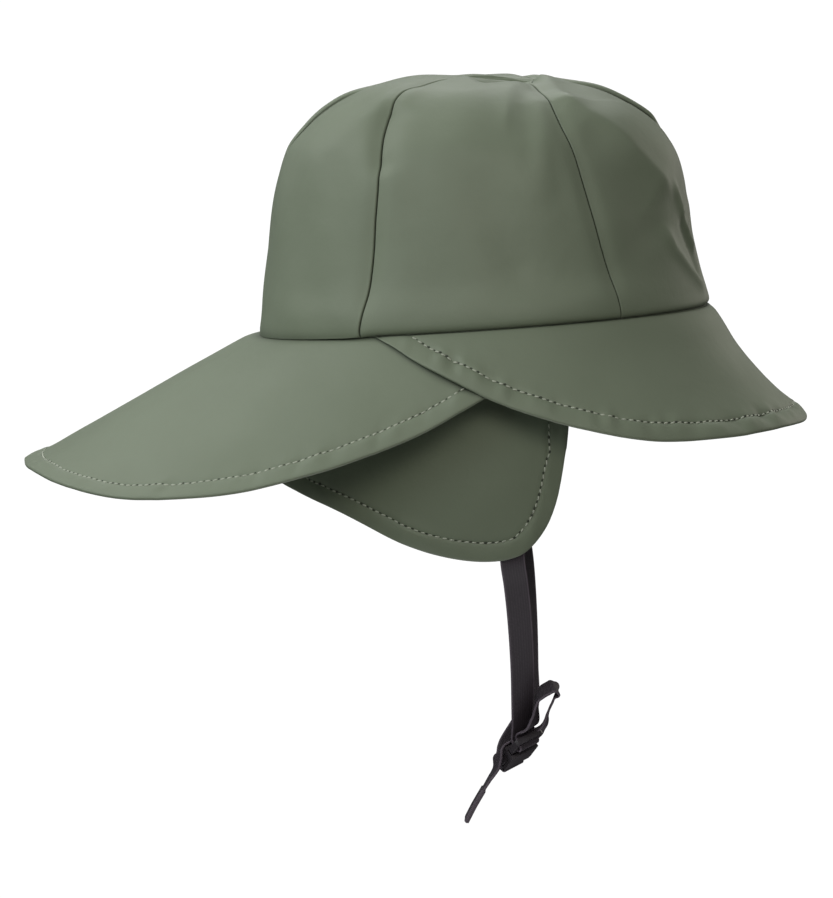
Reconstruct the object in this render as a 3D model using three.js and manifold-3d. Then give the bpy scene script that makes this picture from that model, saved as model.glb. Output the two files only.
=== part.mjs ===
// A child's rain hat of coated fabric: a crown of six panels, a front brim lapped over a long
// rear brim, an ear and neck flap hung inside them, and a chin strap closed by a small buckle.
// Millimetres. +X points to the front of the hat, +Y to the wearer's left, +Z up.
// The origin is the middle of the crown's opening, where the hat sits on a head.
import * as THREE from "three";
import { mergeVertices } from "three/addons/utils/BufferGeometryUtils.js";
import Module from "manifold-3d";

const wasm = await Module();
wasm.setup();

// Driving sizes
const HALF_LENGTH = 93; // crown at the brim seam, front to back
const HALF_WIDTH = 76; // crown at the brim seam, side to side
const WALL = 1.2; // two layers of fabric
const GAP = 0.3; // clearance between sewn pieces
const HEM_WIDTH = 8; // from the stitching to a brim's edge
const STRAP_WIDTH = 10;
const STRAP_WALL = 1.0;

// The brim seam rises to the front: its height is a mean, a tilt and a small saddle.
const SEAM = { mean: 0.25, tilt: 6.5, saddle: -0.75 };

// Crown rings from the top down: share of the seam's size at the back and at the front, how
// far forward the ring's centre lies, because the panels meet ahead of the middle, and the
// turns from the front at which the side panels' seams cross the ring.
const CROWN_RINGS = [
  { height: 98.4, back: 0.013, front: 0.013, shift: 21, frontSeam: 60, rearSeam: 128 },
  { height: 99.3, back: 0.16, front: 0.15, shift: 12, frontSeam: 60, rearSeam: 129 },
  { height: 99.4, back: 0.32, front: 0.27, shift: 3, frontSeam: 60, rearSeam: 129 },
  { height: 96.8, back: 0.452, front: 0.41, shift: 0.5, frontSeam: 62, rearSeam: 129 },
  { height: 92.8, back: 0.585, front: 0.545, shift: 0, frontSeam: 65, rearSeam: 130 },
  { height: 86, back: 0.705, front: 0.69, shift: 0, frontSeam: 67, rearSeam: 128 },
  { height: 79, back: 0.79, front: 0.782, shift: 0, frontSeam: 67, rearSeam: 126 },
  { height: 70, back: 0.872, front: 0.845, shift: 0, frontSeam: 65.5, rearSeam: 123.5 },
  { height: 58, back: 0.92, front: 0.884, shift: 0, frontSeam: 64, rearSeam: 122 },
  { height: 44, back: 0.95, front: 0.912, shift: 0, frontSeam: 62, rearSeam: 122 },
  { height: 31, back: 0.97, front: 0.928, shift: 0, frontSeam: 60, rearSeam: 122 },
  { height: 18, back: 0.984, front: 0.955, shift: 0, frontSeam: 58, rearSeam: 122.5 },
  { height: 8, back: 0.994, front: 0.984, shift: 0, frontSeam: 57, rearSeam: 123.5 },
  { height: 3, back: 0.999, front: 0.998, shift: 0, frontSeam: 56.6, rearSeam: 124 },
  { height: 0, back: 0.996, front: 0.996, shift: 0, frontSeam: 56.4, rearSeam: 124 },
];
// The panels' roll into a seam: it grows over a height from the brim seam, and over a
// distance from the point where the panels meet.
const SEAM_VALLEY = { depth: 1.1, width: 4, lowFade: 16, topFade: 12 };
const PANEL_COLUMNS = { narrow: 9, wide: 11 };
const TOP_BLEND = 70; // height over which the tilt of the seam fades out

// Soft folds of the crown: a straight line from one place to another, raised or sunk.
const CROWN_FOLDS = [
  { from: [12, -5, 98], to: [10, -30, 98], rise: -5.2, width: 8 }, // sag behind the near top
  { from: [16, 22, 99], to: [-20, 24, 99], rise: 0.8, width: 14 }, // full far side of the top
  { from: [-40, -45, 81], to: [-43, -55, 70], rise: -2, width: 7 }, // dent at the rear seam
  { from: [28, -34, 91], to: [60, -40, 71], rise: 1.5, width: 6 }, // crease to the front
  { from: [36, -47, 80], to: [60, -47, 52], rise: -2, width: 11 }, // hollow below the crease
  { from: [80, -26, 45], to: [88, -21, 15], rise: 1.4, width: 5 }, // upright fold at the front
  { from: [71, -40, 42], to: [80, -36, 12], rise: -1.2, width: 7 },
  { from: [6, -48, 88], to: [12, -60, 72], rise: -1, width: 8 }, // pleats below the top
];

// Brim outlines, a row for each turn from the front: how far the edge stands out from the
// seam and how far it drops below it. Inside the front brim the rear one lies close.
const FRONT_BRIM = [
  { turn: 0, out: 41, drop: 47 },
  { turn: 15, out: 40.5, drop: 45.6 },
  { turn: 30, out: 38, drop: 45.6 },
  { turn: 45, out: 34, drop: 46.2 },
  { turn: 60, out: 28.5, drop: 44.5 },
  { turn: 75, out: 22.5, drop: 37.2 },
  { turn: 90, out: 17, drop: 26 },
  { turn: 100, out: 12.5, drop: 16.6 },
  { turn: 108, out: 8, drop: 9.2 },
  { turn: 114, out: 4, drop: 3.6 },
  { turn: 117, out: 1.8, drop: 1.1 },
];
const REAR_INSET = 2.1; // the rear brim starts this far inside the crown's outside
const REAR_COLLAR = 3; // and this far up behind the crown's wall
const REAR_START_DROP = 0.6; // it leaves the crown this far below the seam
const REAR_BRIM = [
  { turn: 62, out: -1.9, drop: 2.2 },
  { turn: 66, out: -0.8, drop: 4.4 },
  { turn: 72, out: 1.8, drop: 8.6 },
  { turn: 80, out: 5.8, drop: 15.2 },
  { turn: 88, out: 10.6, drop: 21.8 },
  { turn: 95, out: 15.2, drop: 28 },
  { turn: 105, out: 21.6, drop: 36.6 },
  { turn: 115, out: 29, drop: 44.2 },
  { turn: 125, out: 39.5, drop: 50.4 },
  { turn: 135, out: 52, drop: 55.4 },
  { turn: 145, out: 66, drop: 58.2 },
  { turn: 155, out: 80, drop: 58 },
  { turn: 164, out: 90, drop: 54.8 },
  { turn: 172, out: 95.8, drop: 51.6 },
  { turn: 180, out: 97.6, drop: 50.6 },
];

// Sections from the seam to the edge: how much of the drop is reached at a share of the width.
const FRONT_SECTION = [
  { share: 0, fall: 0 },
  { share: 0.07, fall: 0.06 },
  { share: 0.27, fall: 0.335 },
  { share: 0.525, fall: 0.594 },
  { share: 0.78, fall: 0.82 },
  { share: 1, fall: 1 },
];
const REAR_SECTION = [
  { share: 0, fall: 0 },
  { share: 0.05, fall: 0.01 },
  { share: 0.1, fall: 0.045 },
  { share: 0.25, fall: 0.2 },
  { share: 0.55, fall: 0.525 },
  { share: 0.84, fall: 0.86 },
  { share: 0.92, fall: 0.945 },
  { share: 1, fall: 1 },
];
const BRIM_ROWS = [0, 0.1, 0.3, 0.55, 0.8]; // shares of the width inside the hem
// The hem from its stitched groove to the edge: a share of its width, and how far the two
// faces of its padded fold lie from the brim's outer surface.
const HEM_ROWS = [
  { share: 0, outer: -0.15, inner: -1.2 },
  { share: 0.45, outer: 0.35, inner: -1.95 },
  { share: 1, outer: -0.2, inner: -1.4 },
];

// Flap outline in the same columns: its edge stands inside the seam.
const FLAP = [
  { turn: 70.1, out: -6, drop: 50 },
  { turn: 70.8, out: -7, drop: 59 },
  { turn: 72.2, out: -8.6, drop: 70.8 },
  { turn: 75, out: -10, drop: 81.8 },
  { turn: 80, out: -11, drop: 90.6 },
  { turn: 85, out: -11.4, drop: 93.4 },
  { turn: 91, out: -11.5, drop: 93.8 },
  { turn: 98, out: -11.3, drop: 92.4 },
  { turn: 106, out: -10.8, drop: 89.2 },
  { turn: 115, out: -10, drop: 83.8 },
  { turn: 125, out: -9, drop: 76.6 },
  { turn: 135, out: -8, drop: 70.2 },
  { turn: 145, out: -7, drop: 65.2 },
  { turn: 156, out: -6, drop: 61 },
  { turn: 168, out: -5.4, drop: 58.4 },
  { turn: 180, out: -5.2, drop: 57.6 },
];
const FLAP_INSET = 3.7;
const FLAP_COLLAR = 8; // the part of the flap that is sewn in behind the crown's wall
const FLAP_BULGE = 2.5; // how far its middle stands out from a straight fall
const FLAP_ROWS = [0, 0.12, 0.3, 0.5, 0.72, 0.86];
const FLAP_HEM_ROWS = [0.92, 0.96, 1];
const FLAP_PADDING = 0.3; // how much the hem's fold stands out on each face

// The buckle's frame: its length runs from the adjuster end to the fixed end.
const BUCKLE_CENTRE = [15, -3, -181];
const BUCKLE_LENGTH_AXIS = [-0.25, 0.8, -0.55];
const BUCKLE_WIDTH_AXIS = [0.8, 0.5, 0.3];
const FRAME_HEIGHT = 2.4;
const BODY_HEIGHT = 6;
const SLOT = { length: 2.6, width: 10.6 };
const ADJUSTER_SLOTS = [-11.5, -6.9]; // middles of the two slots along the buckle
const FIXED_SLOT = 10.8;
// Half outlines, from one end to the other; the other half mirrors them.
const PLUG_OUTLINE = [
  { along: -14.2, across: 5.8 },
  { along: -13.2, across: 6.8 },
  { along: -5, across: 6.8 },
  { along: -4, across: 6.1 },
  { along: -0.2, across: 5.9 },
  { along: 3.2, across: 7.4 },
  { along: 6.2, across: 7.6 },
  { along: 7.9, across: 5.8 },
  { along: 7.2, across: 4.6 },
  { along: 4.6, across: 5.2 },
  { along: 1, across: 4.2 },
  { along: -2.6, across: 3.9 },
  { along: -3.6, across: 3 },
  { along: -3.6, across: 1.4 },
  { along: 5, across: 1.2 },
  { along: 6, across: 0 },
];
const SOCKET_OUTLINE = [
  { along: -3.3, across: 6.8 },
  { along: 8, across: 6.8 },
  { along: 9.4, across: 6.3 },
];
const SOCKET_POCKET = [
  { along: -4, across: 6.3 },
  { along: 0, across: 6.3 },
  { along: 0.8, across: 9 },
  { along: 8.3, across: 9 },
];
const SOCKET_FRAME = [
  { along: 8.8, across: 6.4 },
  { along: 12.7, across: 6.4 },
  { along: 13.7, across: 5.5 },
];

// Routes of the straps. face is the direction of a strap's width. Rows with along, across and
// through are places in the buckle's frame, through being positive on its lower side. The
// free end is hemmed, in two layers.
const RIGHT_STRAP = [
  { x: 8, y: -64.4, z: -80, face: [1, 0.11, 0.1] },
  { x: 8.3, y: -63.2, z: -86, face: [1, 0.11, 0.1] },
  { x: 8.8, y: -61.5, z: -93, face: [1, 0.08, 0.1] },
  { x: 10.7, y: -52.5, z: -104, face: [1, 0.05, 0.15] },
  { x: 12.9, y: -41, z: -121, face: [1, 0.05, 0.1] },
  { x: 14.8, y: -27, z: -143, face: [1, 0.15, 0.1] },
  { x: 15.4, y: -16.6, z: -160, face: [0.9, 0.4, 0.12] },
  { x: 15.5, y: -11.6, z: -168, face: [0.85, 0.48, 0.2] },
  { along: -7.8, across: 0, through: -3, face: "buckle" },
  { along: -6.9, across: 0, through: -0.8, face: "buckle" },
  { along: -7.1, across: 0, through: 1, face: "buckle" },
  { along: -8, across: 0, through: 2.1, face: "buckle" },
  { along: -9.2, across: 0, through: 2.4, face: "buckle" },
  { along: -10.4, across: 0, through: 2.1, face: "buckle" },
  { along: -11.3, across: 0, through: 1, face: "buckle" },
  { along: -11.5, across: 0, through: -0.5, face: "buckle" },
  { along: -12.1, across: 0, through: -2.1, face: "buckle" },
  { along: -13.8, across: 0, through: -3, face: "buckle" },
  { x: 19.4, y: -15.5, z: -168.5, face: [0.6, 0.76, 0.25] },
  { x: 20.3, y: -18.5, z: -163, face: [0.3, 0.94, 0.15] },
  { x: 20.7, y: -20.5, z: -159, face: [0.1, 0.98, 0.25] },
  { x: 22, y: -20.3, z: -155.6, face: [0.05, 0.9, 0.42] },
  { x: 25, y: -18, z: -153.8, face: [0.15, 0.85, 0.52] },
  { x: 28, y: -14, z: -154.8, face: [0.2, 0.85, 0.45] },
  { x: 28.1, y: -9, z: -159.4, face: [0.03, 0.99, 0] },
  { x: 26.2, y: -4, z: -165, face: [0.03, 0.99, -0.11] },
  { x: 24.2, y: 1, z: -171, face: [-0.1, 0.95, -0.2] },
  { along: 1, across: 7.5, through: -6.6, face: "length" },
  { along: 1, across: 3, through: -4.4, face: "length" },
  { along: 1, across: -3, through: -4, face: "length" },
  { along: 1, across: -5.8, through: -4, face: "length" },
  { along: 1.2, across: -7.8, through: -3.3, face: "length" },
  { x: 5.7, y: -5.2, z: -184.5, face: [-0.3, 0.9, -0.2] },
  { x: 4.8, y: -4.8, z: -189, face: [-0.12, 0.98, -0.1] },
  { x: 2.4, y: -4.4, z: -193.2, face: [-0.05, 0.99, -0.1] },
  { x: 0.2, y: -4.1, z: -197, face: [0, 0.99, -0.1] },
  { x: 0, y: -4.1, z: -197.4, face: [0, 0.99, -0.1], layers: 2 },
  { x: -3.7, y: -3.6, z: -204, face: [0, 0.99, -0.1], layers: 2 },
  { x: -7, y: -3.2, z: -210.6, face: [0, 0.99, -0.1], layers: 2 },
];
const LEFT_STRAP = [
  { x: 14, y: 63.4, z: -79, face: [1, -0.16, -0.1] },
  { x: 15, y: 62.8, z: -85, face: [1, -0.14, -0.1] },
  { x: 17, y: 60.9, z: -94, face: [1, -0.05, -0.1] },
  { x: 19, y: 54, z: -108, face: [1, 0, -0.1] },
  { x: 20, y: 43, z: -128, face: [1, 0.1, -0.1] },
  { x: 20.2, y: 31, z: -150, face: [0.92, 0.2, -0.25] },
  { x: 20, y: 21.5, z: -168, face: [0.8, 0.45, -0.3] },
  { along: 11.9, across: 2.4, through: -5.4, face: [0.82, 0.5, 0.2] },
  { along: 11, across: 0, through: -2.2, face: "buckle" },
  { along: 10.8, across: 0, through: 0.2, face: "buckle" },
  { along: 11.4, across: 0, through: 1.9, face: "buckle" },
  { along: 12.8, across: 0, through: 2.5, face: "buckle" },
  { along: 14.3, across: 0, through: 1.8, face: "buckle" },
  { along: 14.8, across: 0, through: 0, face: "buckle" },
  { along: 14.6, across: 0, through: -2.2, face: "buckle" },
  { along: 13.4, across: 2.4, through: -5.4, face: [0.82, 0.5, 0.2] },
];
const STRAP_STEPS = 3; // sections for each row of a route

const green = { color: 0x7f8a78, roughness: 0.55, metalness: 0 };
const black = { color: 0x1e171c, roughness: 0.6, metalness: 0 };

const radians = THREE.MathUtils.degToRad;
const mix = THREE.MathUtils.lerp;

// Value of one column of a table at a place along another column, on a smooth curve.
function read(table, key, place, column) {
  let i = table.findIndex((row) => row[key] >= place);
  if (i <= 0) i = i < 0 ? table.length - 1 : 1;
  const [a, b] = [table[i - 1], table[i]];
  const before = table[i - 2] ?? a;
  const after = table[i + 1] ?? b;
  const span = b[key] - a[key];
  const t = THREE.MathUtils.clamp((place - a[key]) / span, 0, 1);
  const slope = (p, q) => (q === p ? 0 : (q[column] - p[column]) / (q[key] - p[key]));
  const start = slope(before, b) * span;
  const end = slope(a, after) * span;
  const t2 = t * t;
  const t3 = t2 * t;
  return (
    (2 * t3 - 3 * t2 + 1) * a[column] +
    (t3 - 2 * t2 + t) * start +
    (3 * t2 - 2 * t3) * b[column] +
    (t3 - t2) * end
  );
}

const seamHeight = (turn) =>
  SEAM.mean + SEAM.tilt * Math.cos(radians(turn)) + SEAM.saddle * Math.cos(radians(2 * turn));

// A point at a turn about the seam's oval, moved out along the oval's own normal.
function ovalPoint(turn, out, height) {
  const c = Math.cos(radians(turn));
  const s = Math.sin(radians(turn));
  const normal = new THREE.Vector3(c / HALF_LENGTH, s / HALF_WIDTH, 0).normalize();
  return new THREE.Vector3(HALF_LENGTH * c, HALF_WIDTH * s, height).addScaledVector(normal, out);
}

// How much a point rises along its normal because of the crown's folds.
function foldRise(point) {
  let rise = 0;
  for (const fold of CROWN_FOLDS) {
    const line = new THREE.Line3(new THREE.Vector3(...fold.from), new THREE.Vector3(...fold.to));
    const nearest = line.closestPointToPoint(point, true, new THREE.Vector3());
    rise += fold.rise * Math.exp(-((point.distanceTo(nearest) / fold.width) ** 2));
  }
  return rise;
}

// The crown's outside without seams and folds, at a ring number counted from the top.
const NUMBERED_RINGS = CROWN_RINGS.map((row, i) => ({ ...row, i }));

function crownPlain(ring, turn) {
  const [back, front, level, shift] = ["back", "front", "height", "shift"].map((column) =>
    read(NUMBERED_RINGS, "i", ring, column),
  );
  const forward = (1 + Math.cos(radians(turn))) / 2;
  const tilt = seamHeight(turn) * Math.max(0, 1 - level / TOP_BLEND);
  return new THREE.Vector3(
    HALF_LENGTH * Math.cos(radians(turn)) * mix(back, front, forward) + shift,
    (HALF_WIDTH * Math.sin(radians(turn)) * (back + front)) / 2,
    level + tilt,
  );
}

// Outward unit normal of a surface whose rows run down or outward and whose columns run
// counterclockwise seen from above.
function normalOf(surface, row, column, step = 1e-3) {
  const down = surface(row + step, column).sub(surface(row - step, column));
  const along = surface(row, column + step).sub(surface(row, column - step));
  return down.cross(along).normalize();
}

// A closed wall about a surface. walls(row) gives how far its outer and inner faces lie from it.
function sheetMesh(name, finish, rows, columns, surface, walls) {
  const positions = [];
  const faces = [];
  for (const face of ["outer", "inner"])
    for (const row of rows)
      for (const column of columns) {
        const offset = walls(row)[face];
        const normal = normalOf(surface, row, column);
        positions.push(...surface(row, column).addScaledVector(normal, offset));
      }
  const across = columns.length;
  const inside = rows.length * across;
  const quad = (a, b, c, d) => faces.push(a, b, c, a, c, d);
  for (let i = 0; i + 1 < rows.length; i++)
    for (let j = 0; j + 1 < across; j++) {
      const a = i * across + j;
      quad(a, a + across, a + across + 1, a + 1);
      quad(inside + a, inside + a + 1, inside + a + across + 1, inside + a + across);
    }
  const last = inside - across;
  for (let j = 0; j + 1 < across; j++) {
    quad(j, j + 1, inside + j + 1, inside + j);
    quad(last + j + 1, last + j, inside + last + j, inside + last + j + 1);
  }
  for (let i = 0; i + 1 < rows.length; i++) {
    const a = i * across;
    const b = a + across - 1;
    quad(a + across, a, inside + a, inside + a + across);
    quad(b, b + across, inside + b + across, inside + b);
  }
  return meshOf(name, finish, positions, faces);
}

function meshOf(name, finish, positions, faces) {
  const geometry = new THREE.BufferGeometry();
  geometry.setAttribute("position", new THREE.Float32BufferAttribute(positions, 3));
  geometry.setIndex(faces);
  geometry.computeVertexNormals();
  const mesh = new THREE.Mesh(geometry, new THREE.MeshStandardMaterial(finish));
  mesh.name = name;
  return mesh;
}

// Evenly spaced places that crowd towards both ends, where a panel rolls into its seams.
const CROWDING = 0.1;
const crowded = (steps) =>
  Array.from({ length: steps + 1 }, (_, i) => {
    const t = i / steps;
    return t - CROWDING * Math.sin(2 * Math.PI * t);
  });

// Turn from the front of a panel seam: 0 is the front one and 3 the one at the back.
function seamTurn(number, ring) {
  const column = ["", "frontSeam", "rearSeam"][number];
  return column ? read(NUMBERED_RINGS, "i", ring, column) : number * 60;
}

// A panel between two seams on one side, side being 1 on the left and -1 on the right.
function crownPanel(name, side, seam) {
  const wide = seam === 1;
  const lastRing = CROWN_RINGS.length - 1;
  const surface = (ring, share) => {
    const ends = [side * seamTurn(seam, ring), side * seamTurn(seam + 1, ring)];
    const [fromTurn, toTurn] = ends.sort((a, b) => a - b);
    const turn = mix(fromTurn, toTurn, share);
    const point = crownPlain(ring, turn);
    const reach = Math.hypot(point.x - read(NUMBERED_RINGS, "i", ring, "shift"), point.y);
    const arc = radians(toTurn - fromTurn) * Math.max(reach, 1);
    const clear = mix(GAP / 2, arc - GAP / 2, share) / arc;
    const shifted = crownPlain(ring, mix(fromTurn, toTurn, clear));
    const toSeam = Math.min(share, 1 - share) * arc;
    const valley = SEAM_VALLEY.depth * Math.exp(-((toSeam / SEAM_VALLEY.width) ** 2));
    const outward = normalOf(crownPlain, Math.max(ring, 0.05), turn);
    const low = (shifted.z - seamHeight(turn)) / SEAM_VALLEY.lowFade;
    const fade = THREE.MathUtils.clamp(Math.min(low, reach / SEAM_VALLEY.topFade), 0, 1);
    return shifted.addScaledVector(outward, foldRise(shifted) - valley * fade);
  };
  const rows = CROWN_RINGS.map((_, i) => i);
  const columns = crowded(wide ? PANEL_COLUMNS.wide : PANEL_COLUMNS.narrow);
  const lifted = (ring, share) => {
    const point = surface(Math.min(ring, lastRing), share);
    if (ring > lastRing - 0.5) point.z += GAP / 2;
    return point;
  };
  return sheetMesh(name, green, rows, columns, lifted, () => ({ outer: 0, inner: -WALL }));
}

// A brim's rows as shares of its width, from the seam to its edge. At a brim's narrow ends
// the hem takes half of the width.
function brimShares(width) {
  const hem = Math.min(0.5, HEM_WIDTH / width);
  const hemStart = 1 - hem;
  return [
    ...BRIM_ROWS.map((share) => share * hemStart),
    ...HEM_ROWS.map((row) => hemStart + hem * row.share),
  ];
}

const brimWalls = (number) => HEM_ROWS[number - BRIM_ROWS.length] ?? { outer: 0, inner: -WALL };

// The turns of a table's rows with one more between each pair.
const turnsOf = (table) =>
  table.flatMap((row, i) => (i ? [(table[i - 1].turn + row.turn) / 2, row.turn] : [row.turn]));

// Turns of a piece that spans the front, or the back, from the turns of its left half.
const acrossFront = (turns) => [...turns.slice(1).map((turn) => -turn).reverse(), ...turns];
const acrossBack = (turns) => [...turns, ...turns.slice(0, -1).map((turn) => 360 - turn).reverse()];
const fromFront = (turn) => Math.abs(THREE.MathUtils.euclideanModulo(turn + 180, 360) - 180);

// Value of a list at a place between its numbers.
function between(list, place) {
  const i = THREE.MathUtils.clamp(Math.floor(place), 0, list.length - 2);
  return mix(list[i], list[i + 1], place - i);
}

const count = (number) => Array.from({ length: number }, (_, i) => i);

// A point of a brim or the flap. start is where it leaves the seam: out from it and below it.
function hangingPoint(table, share, turn, start, fall) {
  const size = fromFront(turn);
  const out = mix(start.out, read(table, "turn", size, "out"), share);
  const drop = mix(start.drop, read(table, "turn", size, "drop"), fall);
  return ovalPoint(turn, out, seamHeight(turn) - drop);
}

function brimWidth(table, turn) {
  const size = fromFront(turn);
  return Math.hypot(read(table, "turn", size, "out"), read(table, "turn", size, "drop"));
}

function frontBrim() {
  const start = { out: 0, drop: GAP / 2 };
  const surface = (row, turn) => {
    const share = between(brimShares(brimWidth(FRONT_BRIM, turn)), row);
    const hollow = Math.max(0, Math.cos(radians(turn)));
    const fall = mix(share, read(FRONT_SECTION, "share", share, "fall"), hollow);
    return hangingPoint(FRONT_BRIM, share, turn, start, fall);
  };
  const rows = count(BRIM_ROWS.length + HEM_ROWS.length);
  return sheetMesh("front_brim", green, rows, acrossFront(turnsOf(FRONT_BRIM)), surface, brimWalls);
}

// The rear brim has one row more: its collar, sewn in behind the crown's wall.
function rearBrim() {
  const start = { out: -REAR_INSET, drop: REAR_START_DROP };
  const surface = (row, turn) => {
    if (row < 1) {
      const height = seamHeight(turn) + mix(REAR_COLLAR, -start.drop, row);
      return ovalPoint(turn, start.out, height);
    }
    const share = between(brimShares(brimWidth(REAR_BRIM, turn)), row - 1);
    const hollow = Math.max(0, -Math.cos(radians(turn)));
    const fall = mix(share, read(REAR_SECTION, "share", share, "fall"), hollow);
    return hangingPoint(REAR_BRIM, share, turn, start, fall);
  };
  const rows = count(BRIM_ROWS.length + HEM_ROWS.length + 1);
  const walls = (row) => brimWalls(Math.max(0, row - 1));
  return sheetMesh("rear_brim", green, rows, acrossBack(turnsOf(REAR_BRIM)), surface, walls);
}

function earNeckFlap() {
  const start = { out: -FLAP_INSET, drop: -FLAP_COLLAR };
  const surface = (share, turn) => {
    const height = read(FLAP, "turn", fromFront(turn), "drop") + FLAP_COLLAR;
    const hang = Math.max(0, share * height - FLAP_COLLAR) / height;
    const outward = ovalPoint(turn, 1, 0).sub(ovalPoint(turn, 0, 0));
    const point = hangingPoint(FLAP, share, turn, start, share);
    return point.addScaledVector(outward, FLAP_BULGE * Math.sin(Math.PI * hang));
  };
  const walls = (share) => {
    const padding = share > FLAP_HEM_ROWS[0] && share < 1 ? FLAP_PADDING : 0;
    return { outer: padding, inner: -WALL - padding };
  };
  const turns = acrossBack(FLAP.map((row) => row.turn));
  const rows = [...FLAP_ROWS, ...FLAP_HEM_ROWS];
  return sheetMesh("ear_neck_flap", green, rows, turns, surface, walls);
}

const buckleAxes = (() => {
  const length = new THREE.Vector3(...BUCKLE_LENGTH_AXIS).normalize();
  const width = new THREE.Vector3(...BUCKLE_WIDTH_AXIS);
  width.addScaledVector(length, -width.dot(length)).normalize();
  return { length, width, through: length.clone().cross(width) };
})();

function bucklePoint(along, across, through) {
  return new THREE.Vector3(...BUCKLE_CENTRE)
    .addScaledVector(buckleAxes.length, along)
    .addScaledVector(buckleAxes.width, across)
    .addScaledVector(buckleAxes.through, through);
}

// A flat strap swept along a smooth curve through its route's rows.
function strap(name, route) {
  const places = route.map((row) =>
    "x" in row ? new THREE.Vector3(row.x, row.y, row.z) : bucklePoint(row.along, row.across, row.through),
  );
  const layers = route.map((row) => row.layers ?? 1);
  const named = { buckle: buckleAxes.width, length: buckleAxes.length };
  const widths = route.map((row) => named[row.face] ?? new THREE.Vector3(...row.face).normalize());
  const curve = new THREE.CatmullRomCurve3(places, false, "centripetal");
  const sections = (route.length - 1) * STRAP_STEPS;
  const positions = [];
  const faces = [];
  for (let i = 0; i <= sections; i++) {
    const t = i / sections;
    const place = Math.min(Math.floor(i / STRAP_STEPS), route.length - 2);
    const tangent = curve.getTangent(t);
    const width = widths[place].clone().lerp(widths[place + 1], i / STRAP_STEPS - place);
    width.addScaledVector(tangent, -width.dot(tangent)).normalize();
    const thickness = tangent.clone().cross(width);
    const wall = STRAP_WALL * between(layers, i / STRAP_STEPS);
    for (const [across, through] of [[-1, -1], [1, -1], [1, 1], [-1, 1]])
      positions.push(
        ...curve
          .getPoint(t)
          .addScaledVector(width, (across * STRAP_WIDTH) / 2)
          .addScaledVector(thickness, (through * wall) / 2),
      );
    const a = i * 4;
    if (i === 0) faces.push(a, a + 2, a + 1, a, a + 3, a + 2);
    if (i === sections) faces.push(a, a + 1, a + 2, a, a + 2, a + 3);
    if (i < sections)
      for (let k = 0; k < 4; k++) {
        const next = a + ((k + 1) % 4);
        faces.push(a + k, next, next + 4, a + k, next + 4, a + k + 4);
      }
  }
  return meshOf(name, black, positions, faces);
}

// A plate of the buckle from half of its outline, centred in height.
function plate(halfOutline, height) {
  const half = halfOutline.map((row) => new THREE.Vector2(row.along, row.across));
  const mirrored = half.map((point) => new THREE.Vector2(point.x, -point.y)).reverse();
  const doubled = (point, i, all) => i > 0 && point.distanceTo(all[i - 1]) < 1e-6;
  const outline = [...half, ...mirrored].filter((point, i, all) => !doubled(point, i, all));
  if (outline[0].distanceTo(outline.at(-1)) < 1e-6) outline.pop();
  const shape = new THREE.Shape(outline);
  const geometry = new THREE.ExtrudeGeometry(shape, { depth: height, bevelEnabled: false });
  return solidOf(geometry.translate(0, 0, -height / 2));
}

// A plate with strap slots cut through it, their middles given along the buckle.
function slotted(solid, middles) {
  for (const middle of middles) {
    const slot = new THREE.BoxGeometry(SLOT.length, SLOT.width, 2 * BODY_HEIGHT);
    solid = solid.subtract(solidOf(slot.translate(middle, 0, 0)));
  }
  return solid;
}

function solidOf(geometry) {
  const bare = geometry.clone();
  bare.deleteAttribute("normal");
  bare.deleteAttribute("uv");
  const merged = mergeVertices(bare, 1e-4);
  return new wasm.Manifold(
    new wasm.Mesh({
      numProp: 3,
      vertProperties: merged.attributes.position.array,
      triVerts: new Uint32Array(merged.index.array),
    }),
  );
}

function buckleMesh(name, solid) {
  const { vertProperties, triVerts } = solid.getMesh();
  return meshOf(name, black, [...vertProperties], [...triVerts]);
}

// The plug has the adjuster and two sprung prongs; the socket is a flat box, open at the sides.
function buckle() {
  const plug = slotted(plate(PLUG_OUTLINE, FRAME_HEIGHT), ADJUSTER_SLOTS);
  const pocket = plate(SOCKET_POCKET, FRAME_HEIGHT + 2 * GAP);
  const frame = slotted(plate(SOCKET_FRAME, FRAME_HEIGHT), [FIXED_SLOT]);
  const socket = plate(SOCKET_OUTLINE, BODY_HEIGHT).subtract(pocket).add(frame);
  const placed = new THREE.Group();
  placed.add(buckleMesh("buckle_plug", plug), buckleMesh("buckle_socket", socket));
  placed.position.set(...BUCKLE_CENTRE);
  const { length, width, through } = buckleAxes;
  placed.quaternion.setFromRotationMatrix(new THREE.Matrix4().makeBasis(length, width, through));
  return placed;
}

const group = new THREE.Group();
const sides = [
  { side: -1, word: "right" },
  { side: 1, word: "left" },
];
const panelNames = ["crown_front", "crown_side", "crown_back"];
for (const { side, word } of sides)
  panelNames.forEach((name, seam) => group.add(crownPanel(`${name}_${word}`, side, seam)));
group.add(frontBrim(), rearBrim(), earNeckFlap());
group.add(strap("chin_strap_right", RIGHT_STRAP), strap("chin_strap_left", LEFT_STRAP), buckle());

export default group;
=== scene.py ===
"""A child's rain hat of coated fabric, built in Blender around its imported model."""

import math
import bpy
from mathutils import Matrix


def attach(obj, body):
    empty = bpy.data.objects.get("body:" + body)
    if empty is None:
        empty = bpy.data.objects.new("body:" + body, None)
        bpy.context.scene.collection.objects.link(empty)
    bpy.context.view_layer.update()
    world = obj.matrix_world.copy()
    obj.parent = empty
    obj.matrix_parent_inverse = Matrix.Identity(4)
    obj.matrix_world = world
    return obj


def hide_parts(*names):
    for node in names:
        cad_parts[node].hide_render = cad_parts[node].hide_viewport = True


bl_info = {
    "name": "Rain Hat",
    "version": (1, 0, 0),
    "blender": (4, 5, 0),
    "location": "View3D > Sidebar > Rain Hat",
    "description": "Builds a panelled rain hat with its brims, flap, strap and buckle",
    "category": "Add Mesh",
}

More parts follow.
